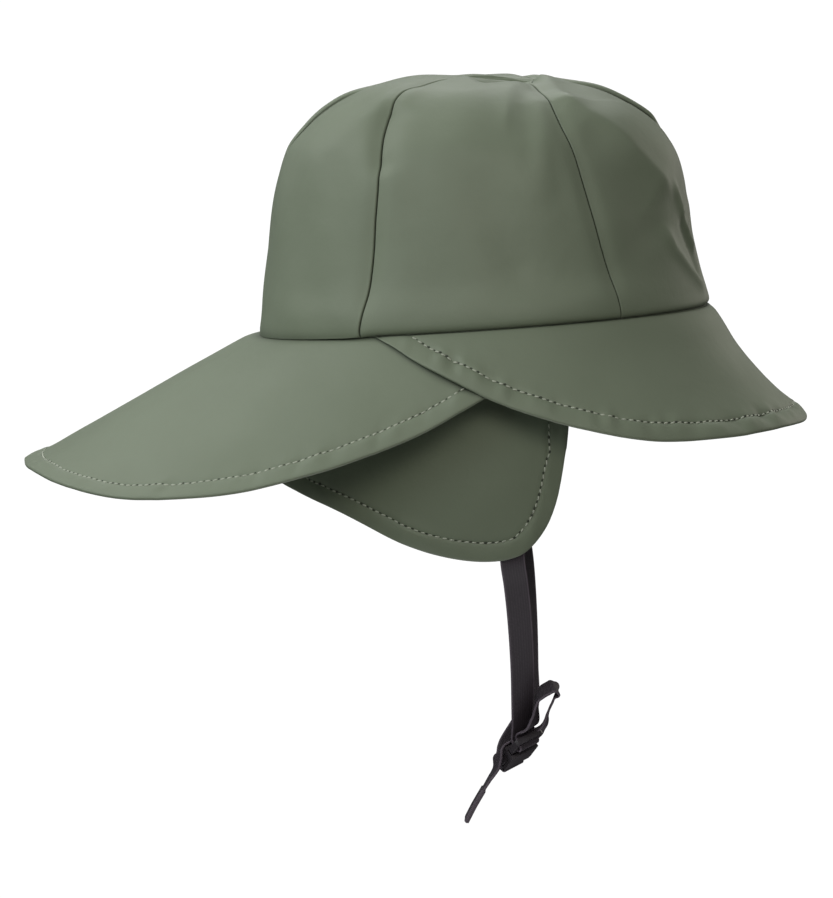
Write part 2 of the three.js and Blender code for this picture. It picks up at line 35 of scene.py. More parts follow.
import bmesh
import bpy
import numpy as np
from bpy.props import FloatProperty, FloatVectorProperty, PointerProperty
from mathutils import Vector

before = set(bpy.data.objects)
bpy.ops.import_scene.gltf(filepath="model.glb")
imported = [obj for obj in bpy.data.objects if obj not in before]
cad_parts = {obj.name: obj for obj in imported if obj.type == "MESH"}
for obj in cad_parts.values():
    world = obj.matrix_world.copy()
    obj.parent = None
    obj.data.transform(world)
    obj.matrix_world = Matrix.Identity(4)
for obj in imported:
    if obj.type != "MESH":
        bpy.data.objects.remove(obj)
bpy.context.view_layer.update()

MM = 0.001  # the hat is worked out in millimetres and built in metres


def table(columns, *rows):
    """Named columns of numbers from rows of a table."""
    return dict(zip(columns.split(), np.array(rows, float).T))


# Sizes of the hat, the same as its solids have
HALF_LENGTH = 93
HALF_WIDTH = 76
WALL = 1.2
BRIM_END = 119.5  # turn at which the front brim's ends go in under the crown
STRAP_WALL = 1.0
TAPE_ROUNDING = 0.28
SEAM_MEAN, SEAM_TILT, SEAM_SADDLE = 0.25, 6.5, -0.75
TOP_BLEND = 70
APEX = (21, 0, 98.1)

CROWN_RINGS = table(
    "height back front shift front_seam rear_seam",
    (98.4, 0.013, 0.013, 21, 60, 128),
    (99.3, 0.16, 0.15, 12, 60, 129),
    (99.4, 0.32, 0.27, 3, 60, 129),
    (96.8, 0.452, 0.41, 0.5, 62, 129),
    (92.8, 0.585, 0.545, 0, 65, 130),
    (86, 0.705, 0.69, 0, 67, 128),
    (79, 0.79, 0.782, 0, 67, 126),
    (70, 0.872, 0.845, 0, 65.5, 123.5),
    (58, 0.92, 0.884, 0, 64, 122),
    (44, 0.95, 0.912, 0, 62, 122),
    (31, 0.97, 0.928, 0, 60, 122),
    (18, 0.984, 0.955, 0, 58, 122.5),
    (8, 0.994, 0.984, 0, 57, 123.5),
    (3, 0.999, 0.998, 0, 56.6, 124),
    (0, 0.996, 0.996, 0, 56.4, 124),
)
CROWN_RINGS["ring"] = np.arange(float(len(CROWN_RINGS["height"])))
# The panels sink towards their seams, less so near the brim and near the top
VALLEY_DEPTH, VALLEY_WIDTH, VALLEY_LOW_FADE, VALLEY_TOP_FADE = 1.1, 4, 16, 12
FOLD_FADE = 5  # a fold rises over a fifth of its length from each end
SMOOTH_ENDS = (0.06, 13.99)  # rings between which the crown's normals are sound
# The seams from the front's middle one to the back's: share of the cloth's roll, and how many
# rolls deep they are
SEAM_ROLLS = (0.9, 0.55, 0.85, 1.1)
SEAM_DEPTHS = (1.9, 2.6, 2, 2.4)

# Folds of the crown: a line of places, how far it stands out, its width, and how sharp it is,
# from 2, rounded, to 1, a crease. A fold fades out towards both ends of its line.
CROWN_FOLDS = (
    # the right side of the top sags beside the back's middle seam, and the left side stays full
    (((-8, -15, 99), (6, -9, 99), (14, -5, 98), (23, -1, 98)), -2, 5, 2),
    (((-8, -20, 98), (6, -18, 98), (14, -16, 97), (23, -13, 97)), -3.7, 9, 2),
    (((30, 16, 98), (16, 22, 99), (-20, 24, 99), (-40, 20, 97)), 0.5, 14, 2),
    # pleats below the place where the panels meet
    (((21, 0, 98), (14, -14, 96), (8, -38, 93), (6, -54, 84), (5, -62, 74)), 1, 3.4, 1.5),
    (((19, -20, 96), (15, -44, 90), (14.4, -60.6, 74.5), (14, -68, 58)), -0.6, 4.5, 2),
    (((20, -10, 97), (20.2, -44, 88), (20.4, -59.2, 75.2), (19, -66, 60)), 0.45, 4.5, 2),
    (((21, -36, 92), (25.8, -61.9, 68.6), (28, -68, 44)), -0.6, 5.5, 2),
    # the dent at the shoulder of the rear seam
    (((-34, -38, 88), (-40, -45, 81), (-43, -55, 70), (-44, -60, 60)), -2.2, 7, 2),
    (((-26, -26, 96), (-34, -34, 92), (-52, -38, 80), (-66, -36, 66)), 1.2, 7, 2),
    # the crease from the top to the front, and the hollow below it
    (((21, 0, 98), (24.5, -22, 95.5), (29.5, -38.5, 90), (37, -44, 84)), 1.1, 4.5, 1.2),
    (
        (
            (27, -31, 93), (30.7, -41.5, 88.3), (38.5, -44.8, 82.4), (47.6, -45.4, 76.8),
            (55.7, -45.2, 70), (62.8, -41.9, 63.5), (69, -36.9, 56.5), (74, -32, 48),
        ),
        4.2, 11, 1,
    ),
    (((32, -54, 79), (46, -56, 65), (58, -50, 48), (66, -45, 28)), -1.2, 11, 2),
    (((70, -6, 77), (76, -8, 68), (81, -10, 56), (84, -10, 46)), -0.5, 10, 2),
    # the groove of the front's middle seam, and the right side sinking towards it
    (((22, 0, 98), (40, 0, 95.5), (56, 0, 89.5), (66, 0, 83), (74, 0, 74)), -3.2, 2.1, 2),
    (
        ((26, -3, 97), (38, -3, 96), (48, -3, 92.5), (58, -3, 88.5), (66, -3, 82), (76, -3, 68)),
        -1.2, 6, 2,
    ),
    # the right side sinks a little towards the back's middle seam too
    (((-34, -2, 97), (-50, -2, 92), (-66, -2, 83), (-76, -2, 74), (-84, -2, 62)), -1.3, 5, 2),
    # two upright folds beside the front seam, and the valley between them
    (((74, -33, 60), (79, -27, 42.8), (84, -19, 32), (86, -16, 26)), 1.9, 2.2, 1.3),
    (((77, -29, 46), (80, -26.4, 38.3), (85, -20, 27), (89.8, -14.5, 14)), -1.5, 3, 2),
    (
        ((68, -42, 42), (74, -36.8, 30.4), (80, -31, 23.6), (85, -25, 17.5), (90, -16.5, 11)),
        1.8, 3, 1.4,
    ),
    # the side's cloth swells above the front brim
    (
        (
            (-92, -10, 2), (-84, -36, 3), (-68, -56, 4), (-40, -71, 6), (-16, -75, 7), (20, -74, 9),
            (52, -62, 13), (66, -50, 14), (76, -38, 14),
        ),
        1.7, 8.5, 2,
    ),
    # long shallow folds of the side and back panels
    (((-20, -62, 76), (-12, -67, 62), (6, -72, 36), (16, -74, 16)), -0.8, 9, 2),
)

# The left side folds over the middle seams, as a lip with a hollow below: at a distance from the
# seam, how far the cloth leans away from it, or over it where that is negative, and how far it lifts
LIP = table(
    "distance lean lift",
    (0, 0, 0),
    (0.46, 0.75, 0.45),
    (1, 1, 0.95),
    (1.5, 0.7, 1.3),
    (2.2, -0.6, 1.4),
    (3.1, -2.1, 1.3),
    (4.2, -2.9, 1.65),
    (5.5, -2.8, 1.9),
    (6.8, -2, 1.75),
    (8.1, -1.1, 1.35),
    (10, -0.5, 0.85),
    (13, -0.1, 0.3),
    (17, 0, 0),
)
# The lip's stretches: the panel, where along X it starts, is full, fades and ends, and its size
LIP_STRETCHES = (
    ("front", 26, 60, 67, 75, 1),
    ("back", -14, -4, 12, 20, 0.5),
    ("back", -90, -79, -60, -42, 0.62),
)

FRONT_BRIM = table(
    "turn out drop",
    (0, 41, 47),
    (15, 40.5, 45.6),
    (30, 38, 45.6),
    (45, 34, 46.2),
    (60, 28.5, 44.5),
    (75, 22.5, 37.2),
    (90, 17, 26),
    (100, 12.5, 16.6),
    (108, 8, 9.2),
    (114, 4, 3.6),
    (117, 2, 1.5),
    (119.5, 0.2, -0.6),
)
REAR_BRIM = table(
    "turn out drop",
    (62, -1.9, 2.2),
    (66, -0.8, 4.4),
    (72, 1.8, 8.6),
    (80, 5.8, 15.2),
    (88, 10.6, 21.8),
    (95, 15.2, 28),
    (105, 21.6, 36.6),
    (115, 29, 44.2),
    (125, 39.5, 50.4),
    (135, 52, 55.4),
    (145, 66, 58.2),
    (155, 80, 58),
    (164, 90, 54.8),
    (172, 95.8, 51.6),
    (180, 97.6, 50.6),
)
FRONT_SECTION = table(
    "share fall", (0, 0), (0.07, 0.06), (0.27, 0.335), (0.525, 0.594), (0.78, 0.82), (1, 1)
)
REAR_SECTION = table(
    "share fall",
    (0, 0),
    (0.05, 0.01),
    (0.1, 0.045),
    (0.25, 0.2),
    (0.55, 0.525),
    (0.84, 0.86),
    (0.92, 0.945),
    (1, 1),
)
FLAP = table(
    "turn out drop",
    (70.1, -6, 50),
    (70.8, -7, 59),
    (72.2, -8.6, 70.8),
    (75, -10, 81.8),
    (80, -11, 90.6),
    (85, -11.4, 93.4),
    (91, -11.5, 93.8),
    (98, -11.3, 92.4),
    (106, -10.8, 89.2),
    (115, -10, 83.8),
    (125, -9, 76.6),
    (135, -8, 70.2),
    (145, -7, 65.2),
    (156, -6, 61),
    (168, -5.4, 58.4),
    (180, -5.2, 57.6),
)
FLAP_INSET, FLAP_COLLAR, FLAP_BULGE = 3.7, 8, 2.5

# A hem across its width: how far its two faces lie from the outer surface at a distance from
# the edge. The fold is padded, and the stitching draws it in.
HEM = table(
    "edge outer inner",
    (0, -0.9, -0.9),
    (0.06, -0.56, -1.24),
    (0.18, -0.34, -1.42),
    (0.4, -0.14, -1.56),
    (0.8, 0.04, -1.68),
    (1.5, 0.18, -1.77),
    (2.6, 0.33, -1.86),
    (4, 0.42, -1.9),
    (5.8, 0.34, -1.86),
    (7.1, 0.04, -1.58),
    (8, -0.34, -1.34),
    (8.9, -0.1, -1.24),
    (10.2, 0.02, -1.2),
    (12, 0, -1.2),
    (200, 0, -1.2),
)
# Rows of a hanging piece's mesh, by distance from its edge
EDGE_ROWS = (
    0, 0.06, 0.18, 0.4, 0.8, 1.5, 2.3, 3.2, 4.2, 5.2, 6.2, 6.9, 7.3, 7.65, 8, 8.35, 8.8, 9.4, 10.2,
)
# Columns of a crown panel's mesh by distance from its seam, and its last rows by distance from
# the brim
SEAM_COLUMNS = (0, 0.03, 0.12, 0.27, 0.46, 0.7, 1.0, 1.5, 2.2, 3.1, 4.2)
LOW_ROWS = (5, 3.4, 2.3, 1.6, 1.1, 0.75, 0.5, 0.3, 0.15, 0.05, 0)
# Rows of a crown panel between the point where the panels meet and its first ring, as shares
TIP_ROWS = (0.03, 0.35, 0.7)
# Seam allowances inside the crown: half width, height, slope at the side, and where they end
# above the brim
ALLOWANCE_WIDTH, ALLOWANCE_HEIGHT, ALLOWANCE_SLOPE, ALLOWANCE_END = 6, 0.9, 0.6, 8
# Distances over which the cloth's unevenness fades in: below the top, above the brim, and from
# the seam of a brim or the flap
TOP_CALM, EDGE_CALM, SEAM_CALM = 30, 12, 10
# Size of the roll of the crown's lower edge above the front brim and above the rear one, the
# turn at which the one has given way to the other, and over how many degrees it does
FRONT_EDGE_ROLL, REAR_EDGE_ROLL, EDGE_ROLL_TURN, EDGE_ROLL_CHANGE = 1.2, 0.12, 127, 6
EDGE_ROLL_WIDTH, EDGE_ROLL_DEPTH = 2.7, 1.35  # for a size of 1
MOST_ROLL = 0.3  # of a panel's width
# Wavelengths of the cloth's soft unevenness and of the puckers along the stitching
CROWN_WAVE, HANGING_WAVE, PUCKER_WAVE, FINE_PUCKER_WAVE = 34, 46, 12, 6
# Puckers: their middle's distance from the edge, their spread, and how strong the fine ones are
PUCKER_PLACE, PUCKER_SPREAD, FINE_PUCKERS = 6.5, 4.5, 0.35
HEM_ROOM = 14  # a hem is flatter where its piece is narrower than this
COLLAR_WALL = 0.6
FAR = 90.0  # as the distance from an edge that isn't near

REAR_BRIM_START, FLAP_START = 62, 70.1  # turns
REAR_BRIM_INSET = 2.1
STITCHES_START = 86  # turn from which the rear brim's stitching shows

# Half sizes across, in height and along: of a stitch's thread, and of a needle hole's painted shade
THREAD_WIDTH, THREAD_HEIGHT = 0.38, 0.3
HOLE_SHADE_WIDTH, HOLE_SHADE_HEIGHT, HOLE_SHADE_LENGTH = 0.46, 0.14, 0.6
STITCH_LEAN = 0.16  # sideways for its length

BUCKLE_ROUNDING = 0.6

BUCKLE_CENTRE = Vector((15, -3, -181))
BUCKLE_LENGTH = Vector((-0.25, 0.8, -0.55)).normalized()
BUCKLE_WIDTH = Vector((0.8, 0.5, 0.3))
BUCKLE_WIDTH = (BUCKLE_WIDTH - BUCKLE_WIDTH.dot(BUCKLE_LENGTH) * BUCKLE_LENGTH).normalized()
BUCKLE_THROUGH = BUCKLE_LENGTH.cross(BUCKLE_WIDTH)

# Routes of the strap. A row is a place and the direction of the tape's width: in the hat's
# frame, or in the buckle's, with its width or its length as the tape's direction.
RIGHT_STRAP = (
    ("hat", 8, -64.4, -80, (1, 0.11, 0.1)),
    ("hat", 8.3, -63.2, -86, (1, 0.11, 0.1)),
    ("hat", 8.8, -61.5, -93, (1, 0.08, 0.1)),
    ("hat", 10.7, -52.5, -104, (1, 0.05, 0.15)),
    ("hat", 12.9, -41, -121, (1, 0.05, 0.1)),
    ("hat", 14.8, -27, -143, (1, 0.15, 0.1)),
    ("hat", 15.4, -16.6, -160, (0.9, 0.4, 0.12)),
    ("hat", 15.5, -11.6, -168, (0.85, 0.48, 0.2)),
    ("buckle", -7.8, 0, -3, "width"),
    ("buckle", -6.9, 0, -0.8, "width"),
    ("buckle", -7.1, 0, 1, "width"),
    ("buckle", -8, 0, 2.1, "width"),
    ("buckle", -9.2, 0, 2.4, "width"),
    ("buckle", -10.4, 0, 2.1, "width"),
    ("buckle", -11.3, 0, 1, "width"),
    ("buckle", -11.5, 0, -0.5, "width"),
    ("buckle", -12.1, 0, -2.1, "width"),
    ("buckle", -13.8, 0, -3, "width"),
    ("hat", 19.4, -15.5, -168.5, (0.6, 0.76, 0.25)),
    ("hat", 20.3, -18.5, -163, (0.3, 0.94, 0.15)),
    ("hat", 20.7, -20.5, -158.6, (0.1, 0.98, 0.25)),
    ("hat", 21.9, -20.5, -155.4, (0.05, 0.92, 0.36)),
    ("hat", 24.8, -20, -152.6, (0.05, 0.9, 0.42)),
    ("hat", 27.8, -19.4, -151.4, (0.05, 0.93, 0.28)),
    ("hat", 29.6, -18.2, -152.8, (0.06, 0.97, 0)),
    ("hat", 28.9, -16.6, -155.8, (0.065, 0.98, -0.17)),
    ("hat", 26.7, -13.2, -162.2, (0.065, 0.98, -0.185)),
    ("hat", 24.4, -9.4, -168.8, (0.065, 0.98, -0.185)),
    ("hat", 21.2, -3, -172.4, (-0.05, 0.92, -0.32)),
    ("buckle", 1, 7.5, -6.6, "length"),
    ("buckle", 1, 3, -4.4, "length"),
    ("buckle", 1, -3, -4, "length"),
    ("buckle", 1, -5.8, -4, "length"),
    ("buckle", 1.2, -7.8, -3.3, "length"),
    ("hat", 5.7, -5.2, -184.5, (-0.3, 0.9, -0.2)),
    ("hat", 4.8, -4.8, -189, (-0.12, 0.98, -0.1)),
    ("hat", 2.4, -4.4, -193.2, (-0.05, 0.99, -0.1)),
    ("hat", 0.2, -4.1, -197, (0, 0.99, -0.1)),
    ("hat", 0, -4.1, -197.4, (0, 0.99, -0.1)),
    ("hat", -3.7, -3.6, -204, (0, 0.99, -0.1)),
    ("hat", -7, -3.2, -210.6, (0, 0.99, -0.1)),
)
HEMMED_ROWS = 3  # the last rows of the right strap are in two layers
# Columns across the tape's face, as shares of its half width
TAPE_COLUMNS = (-1, -0.985, -0.94, -0.8, -0.5, 0, 0.5, 0.8, 0.94, 0.985, 1)
LEFT_STRAP = (
    ("hat", 14, 63.4, -79, (1, -0.16, -0.1)),
    ("hat", 15, 62.8, -85, (1, -0.14, -0.1)),
    ("hat", 17, 60.9, -94, (1, -0.05, -0.1)),
    ("hat", 19, 54, -108, (1, 0, -0.1)),
    ("hat", 20, 43, -128, (1, 0.1, -0.1)),
    ("hat", 20.2, 31, -150, (0.92, 0.2, -0.25)),
    ("hat", 20, 21.5, -168, (0.8, 0.45, -0.3)),
    ("buckle", 11.9, 2.4, -5.4, (0.82, 0.5, 0.2)),
    ("buckle", 11, 0, -2.2, "width"),
    ("buckle", 10.8, 0, 0.2, "width"),
    ("buckle", 11.4, 0, 1.9, "width"),
    ("buckle", 12.8, 0, 2.5, "width"),
    ("buckle", 14.3, 0, 1.8, "width"),
    ("buckle", 14.8, 0, 0, "width"),
    ("buckle", 14.6, 0, -2.2, "width"),
    ("buckle", 13.4, 2.4, -5.4, (0.82, 0.5, 0.2)),
)


# Geometry of the cloth


def bend(t, start, start_slope, end, end_slope):
    """A smooth curve from one value to another with the given slopes, t going from 0 to 1."""
    return (
        (2 * t**3 - 3 * t**2 + 1) * start
        + (t**3 - 2 * t**2 + t) * start_slope
        + (3 * t**2 - 2 * t**3) * end
        + (t**3 - t**2) * end_slope
    )


def read(rows, key, place, column):
    """Values of a column at places along another column, on a smooth curve."""
    keys, values = rows[key], rows[column]
    slopes = np.empty_like(values)
    slopes[1:-1] = (values[2:] - values[:-2]) / (keys[2:] - keys[:-2])
    slopes[0] = (values[1] - values[0]) / (keys[1] - keys[0])
    slopes[-1] = (values[-1] - values[-2]) / (keys[-1] - keys[-2])
    place = np.clip(place, keys[0], keys[-1])
    after = np.clip(np.searchsorted(keys, place), 1, len(keys) - 1)
    before = after - 1
    span = keys[after] - keys[before]
    t = (place - keys[before]) / span
    return bend(t, values[before], span * slopes[before], values[after], span * slopes[after])


def mix(a, b, share):
    return a + (b - a) * share


def smooth(share):
    """A share from 0 to 1 that starts and ends gently."""
    share = np.clip(share, 0, 1)
    return share * share * (3 - 2 * share)


def arcs_of(line):
    """Distance along a line of points from its start."""
    return np.concatenate([[0], np.cumsum(lengths(np.diff(line, axis=0)))])


def lengths(vectors):
    return np.linalg.norm(vectors, axis=-1)


def unit(vectors):
    return vectors / np.maximum(lengths(vectors), 1e-9)[..., None]


def from_front(turn):
    return np.abs((turn + 180) % 360 - 180)


def seam_height(turn):
    a = np.radians(turn)
    return SEAM_MEAN + SEAM_TILT * np.cos(a) + SEAM_SADDLE * np.cos(2 * a)


def oval_point(turn, out, height):
    """A place at a turn about the seam's oval, moved out along the oval's own normal."""
    c, s = np.cos(np.radians(turn)), np.sin(np.radians(turn))
    size = np.hypot(c / HALF_LENGTH, s / HALF_WIDTH)
    x = HALF_LENGTH * c + out * c / HALF_LENGTH / size
    y = HALF_WIDTH * s + out * s / HALF_WIDTH / size
    return np.stack(np.broadcast_arrays(x, y, height), axis=-1)


def crown_point(ring, turn):
    """The crown's outside without seams and folds."""
    back, front, level, shift = (
        read(CROWN_RINGS, "ring", ring, name) for name in ("back", "front", "height", "shift")
    )
    a = np.radians(turn)
    tilt = seam_height(turn) * np.maximum(0, 1 - level / TOP_BLEND)
    x = HALF_LENGTH * np.cos(a) * mix(back, front, (1 + np.cos(a)) / 2) + shift
    y = HALF_WIDTH * np.sin(a) * (back + front) / 2
    return np.stack(np.broadcast_arrays(x, y, level + tilt), axis=-1)


def normals_of(surface, row, column, step=1e-3):
    """Outward normals of a surface whose rows run down and columns counterclockwise."""
    down = surface(row + step, column) - surface(row - step, column)
    along = surface(row, column + step) - surface(row, column - step)
    return unit(np.cross(down, along))


def fold_rise(places):
    """How far the crown's folds lift each place along its normal."""
    rise = np.zeros(places.shape[:-1])
    for line, height, width, power in CROWN_FOLDS:
        line = np.array(line, float)
        marks = arcs_of(line)
        away, along = np.full_like(rise, np.inf), np.zeros_like(rise)
        for a, b, mark, next_mark in zip(line, line[1:], marks, marks[1:]):
            share = np.clip(((places - a) * (b - a)).sum(-1) / ((b - a) ** 2).sum(), 0, 1)
            gap = lengths(places - a - share[..., None] * (b - a))
            along = np.where(gap < away, mix(mark, next_mark, share), along)
            away = np.minimum(gap, away)
        fade = smooth(FOLD_FADE * np.minimum(along, marks[-1] - along) / marks[-1])
        rise += height * fade * np.exp(-((away / width) ** power))
    return rise


def ripple(places, seed, wavelength, waves=16):
    """Smooth noise with a spread of about 1: a sum of waves through space."""
    random = np.random.default_rng(seed)
    ways = unit(random.normal(size=(waves, 3)))
    ways *= (2 * np.pi / wavelength * random.uniform(0.6, 1.4, waves))[:, None]
    phases = random.uniform(0, 2 * np.pi, waves)
    return np.sin(places @ ways.T + phases).sum(-1) * math.sqrt(2 / waves)


def pinch(distance, width, depth):
    """Depth of a roll into a seam at a distance from it."""
    left = 1 - np.clip(distance / np.maximum(width, 1e-6), 0, 1)
    return depth * (1 - np.sqrt(1 - left**2))


def edge_distance(places, edge):
    """Distance from each place to an edge, a line through many points."""
    flat = places.reshape(-1, 3)
    result = np.empty(len(flat))
    batch = 4000
    for start in range(0, len(flat), batch):
        part = flat[start : start + batch]
        squares = (part**2).sum(1)[:, None] - 2 * part @ edge.T + (edge**2).sum(1)
        nearest = squares.argmin(1)
        best = np.full(len(part), np.inf)
        for shift in (-1, 0):
            a = np.clip(nearest + shift, 0, len(edge) - 2)
            line = edge[a + 1] - edge[a]
            share = ((part - edge[a]) * line).sum(1) / np.maximum((line**2).sum(1), 1e-12)
            foot = edge[a] + np.clip(share, 0, 1)[:, None] * line
            best = np.minimum(best, lengths(part - foot))
        result[start : start + batch] = best
    return result.reshape(places.shape[:-1])


def along_line(line, step, margin=0):
    """Places and directions at equal steps along a line of points."""
    arcs = arcs_of(line)
    marks = np.arange(margin, arcs[-1] - margin, step)
    places = np.stack([np.interp(marks, arcs, line[:, k]) for k in range(3)], -1)
    ahead = np.stack([np.interp(marks + 0.5, arcs, line[:, k]) for k in range(3)], -1)
    behind = np.stack([np.interp(marks - 0.5, arcs, line[:, k]) for k in range(3)], -1)
    return places, unit(ahead - behind)


# Meshes


def linked(name, mesh, *materials):
    made = bpy.data.objects.new(name, mesh)
    for material in materials:
        mesh.materials.append(material)
    bpy.context.scene.collection.objects.link(made)
    return made


def dressed(piece, slot, *nodes):
    """Rides a finished piece on the hat, in place of its CAD nodes."""
    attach(piece, "root")
    if nodes:
        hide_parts(*nodes)


def grid_mesh(name, places, surface_uv, backing=None):
    """A mesh of a grid bent to the given places, with coincident places joined."""
    rows, columns = places.shape[:2]
    bm = bmesh.new()
    bmesh.ops.create_grid(bm, x_segments=columns - 1, y_segments=rows - 1, size=1)
    mesh = bpy.data.meshes.new(name)
    bm.to_mesh(mesh)
    mesh.vertices.foreach_set("co", (places * MM).astype(np.float32).ravel())
    corners = np.empty(len(mesh.loops), np.int32)
    mesh.loops.foreach_get("vertex_index", corners)
    uv = mesh.uv_layers.new(name="Surface")
    corner_uv = surface_uv.reshape(-1, 2)[corners] * MM
    uv.uv.foreach_set("vector", corner_uv.astype(np.float32).ravel())
    if backing is not None:
        faces = (backing[:-1, :-1] & backing[1:, 1:]).astype(np.int32)
        mesh.polygons.foreach_set("material_index", faces.ravel())
    bm.clear()
    bm.from_mesh(mesh)
    bmesh.ops.remove_doubles(bm, verts=bm.verts, dist=2e-6)
    if bm.calc_volume(signed=True) < 0:
        bmesh.ops.reverse_faces(bm, faces=bm.faces)
    for face in bm.faces:
        face.smooth = True
    bm.to_mesh(mesh)
    bm.free()
    return mesh


def wall_mesh(name, outer, inner, surface_uv, hem=None):
    """A closed wall: a grid that runs down its outer face and up its inner one. The inner face
    shows the backing, except for the part of the outer fabric that is folded over as a hem."""
    places = np.concatenate([outer, inner[::-1]])
    uv = np.concatenate([surface_uv, surface_uv[::-1]])
    inside = np.ones(outer.shape[:2], bool) if hem is None else ~hem
    backing = np.concatenate([np.zeros(outer.shape[:2], bool), inside[::-1]])
    return grid_mesh(name, places, uv, backing)


def closed(outer, inner):
    """Brings the inner face's border onto the outer face's."""
    for border in (np.s_[0], np.s_[-1], np.s_[:, 0], np.s_[:, -1]):
        inner[border] = outer[border]
    return inner


def copies_mesh(name, shape, matrices):
    """One mesh of many copies of a small bmesh, each placed by a 3 by 4 matrix in millimetres."""
    one = bpy.data.meshes.new("one")
    shape.to_mesh(one)
    corners = np.empty(len(one.vertices) * 3, np.float32)
    one.vertices.foreach_get("co", corners)
    corners = np.concatenate([corners.reshape(-1, 3), np.ones((len(one.vertices), 1))], 1)
    bm = bmesh.new()
    for _ in matrices:
        bm.from_mesh(one)
    mesh = bpy.data.meshes.new(name)
    bm.to_mesh(mesh)
    bm.free()
    bpy.data.meshes.remove(one)
    places = np.einsum("kij,nj->kni", np.array(matrices), corners) * MM
    mesh.vertices.foreach_set("co", places.astype(np.float32).ravel())
    mesh.polygons.foreach_set("use_smooth", [True] * len(mesh.polygons))
    mesh.update()
    return mesh


# Crown

PANELS = ("front", "side", "back")


def panel_rows(side, seam, step):
    """Rings of a panel's rows, and their distances from the top and from the brim."""
    rings = np.linspace(0.02, CROWN_RINGS["ring"][-1], 400)
    reach = arcs_of(crown_point(rings, np.full(400, side * (seam * 60 + 30))))
    marks = np.concatenate([np.arange(0, reach[-1] - 6, step), reach[-1] - np.array(LOW_ROWS)])
    return np.interp(marks, reach, rings)[:, None], marks, (reach[-1] - marks)[:, None]


def panel_columns(ring, first, last, step):
    """Turns of a panel's columns on each ring between its seams' turns, how far they are from its
    first seam, and how far apart the seams are."""
    turns = mix(first, last, np.linspace(0, 1, 241))
    arcs = np.cumsum(lengths(np.diff(crown_point(ring, turns), axis=1)), axis=1)
    arcs = np.concatenate([np.zeros_like(ring), arcs], axis=1)
    span = arcs[:, -1:]
    near = np.array(SEAM_COLUMNS)
    ends = near * np.minimum(1, 0.42 * span / near[-1])
    middle = max(3, int((span.max() - 2 * near[-1]) / step))
    share = np.linspace(0, 1, middle + 2)[1:-1]
    inner_part = ends[:, -1:] + share * (span - 2 * ends[:, -1:])
    distance = np.concatenate([ends, inner_part, (span - ends)[:, ::-1]], axis=1)
    turn = np.array([np.interp(d, a, t) for d, a, t in zip(distance, arcs, turns)])
    return turn, distance, span


def seam_lip(places, seam, distance, span):
    """How far a left panel's cloth leans and lifts where it folds over the middle seam."""
    lean, lift = np.zeros_like(distance), np.zeros_like(distance)
    x = places[..., 0]
    middle_seam = distance if seam == 0 else span - distance
    for panel, start, full, fading, end, size in LIP_STRETCHES:
        if panel == PANELS[seam]:
            share = size * smooth((x - start) / (full - start)) * smooth((end - x) / (end - fading))
            share *= np.clip((span - middle_seam) / 5, 0, 1)
            lean += share * read(LIP, "distance", middle_seam, "lean")
            lift += share * read(LIP, "distance", middle_seam, "lift")
    return lean, lift


def with_tip(outer, inner):
    """A panel's two faces with their rows up to the point where the panels meet."""
    tip = np.array(APEX, float)
    ways = np.array(TIP_ROWS)[:, None, None]
    drop = np.array([0, 0, -1]) * (1 - ways) * 0.6
    outer_tip = mix(tip, outer[0], ways) + drop
    inner_tip = mix(tip - [0, 0, WALL], inner[0], ways) + drop
    return np.concatenate([outer_tip, outer]), np.concatenate([inner_tip, inner])


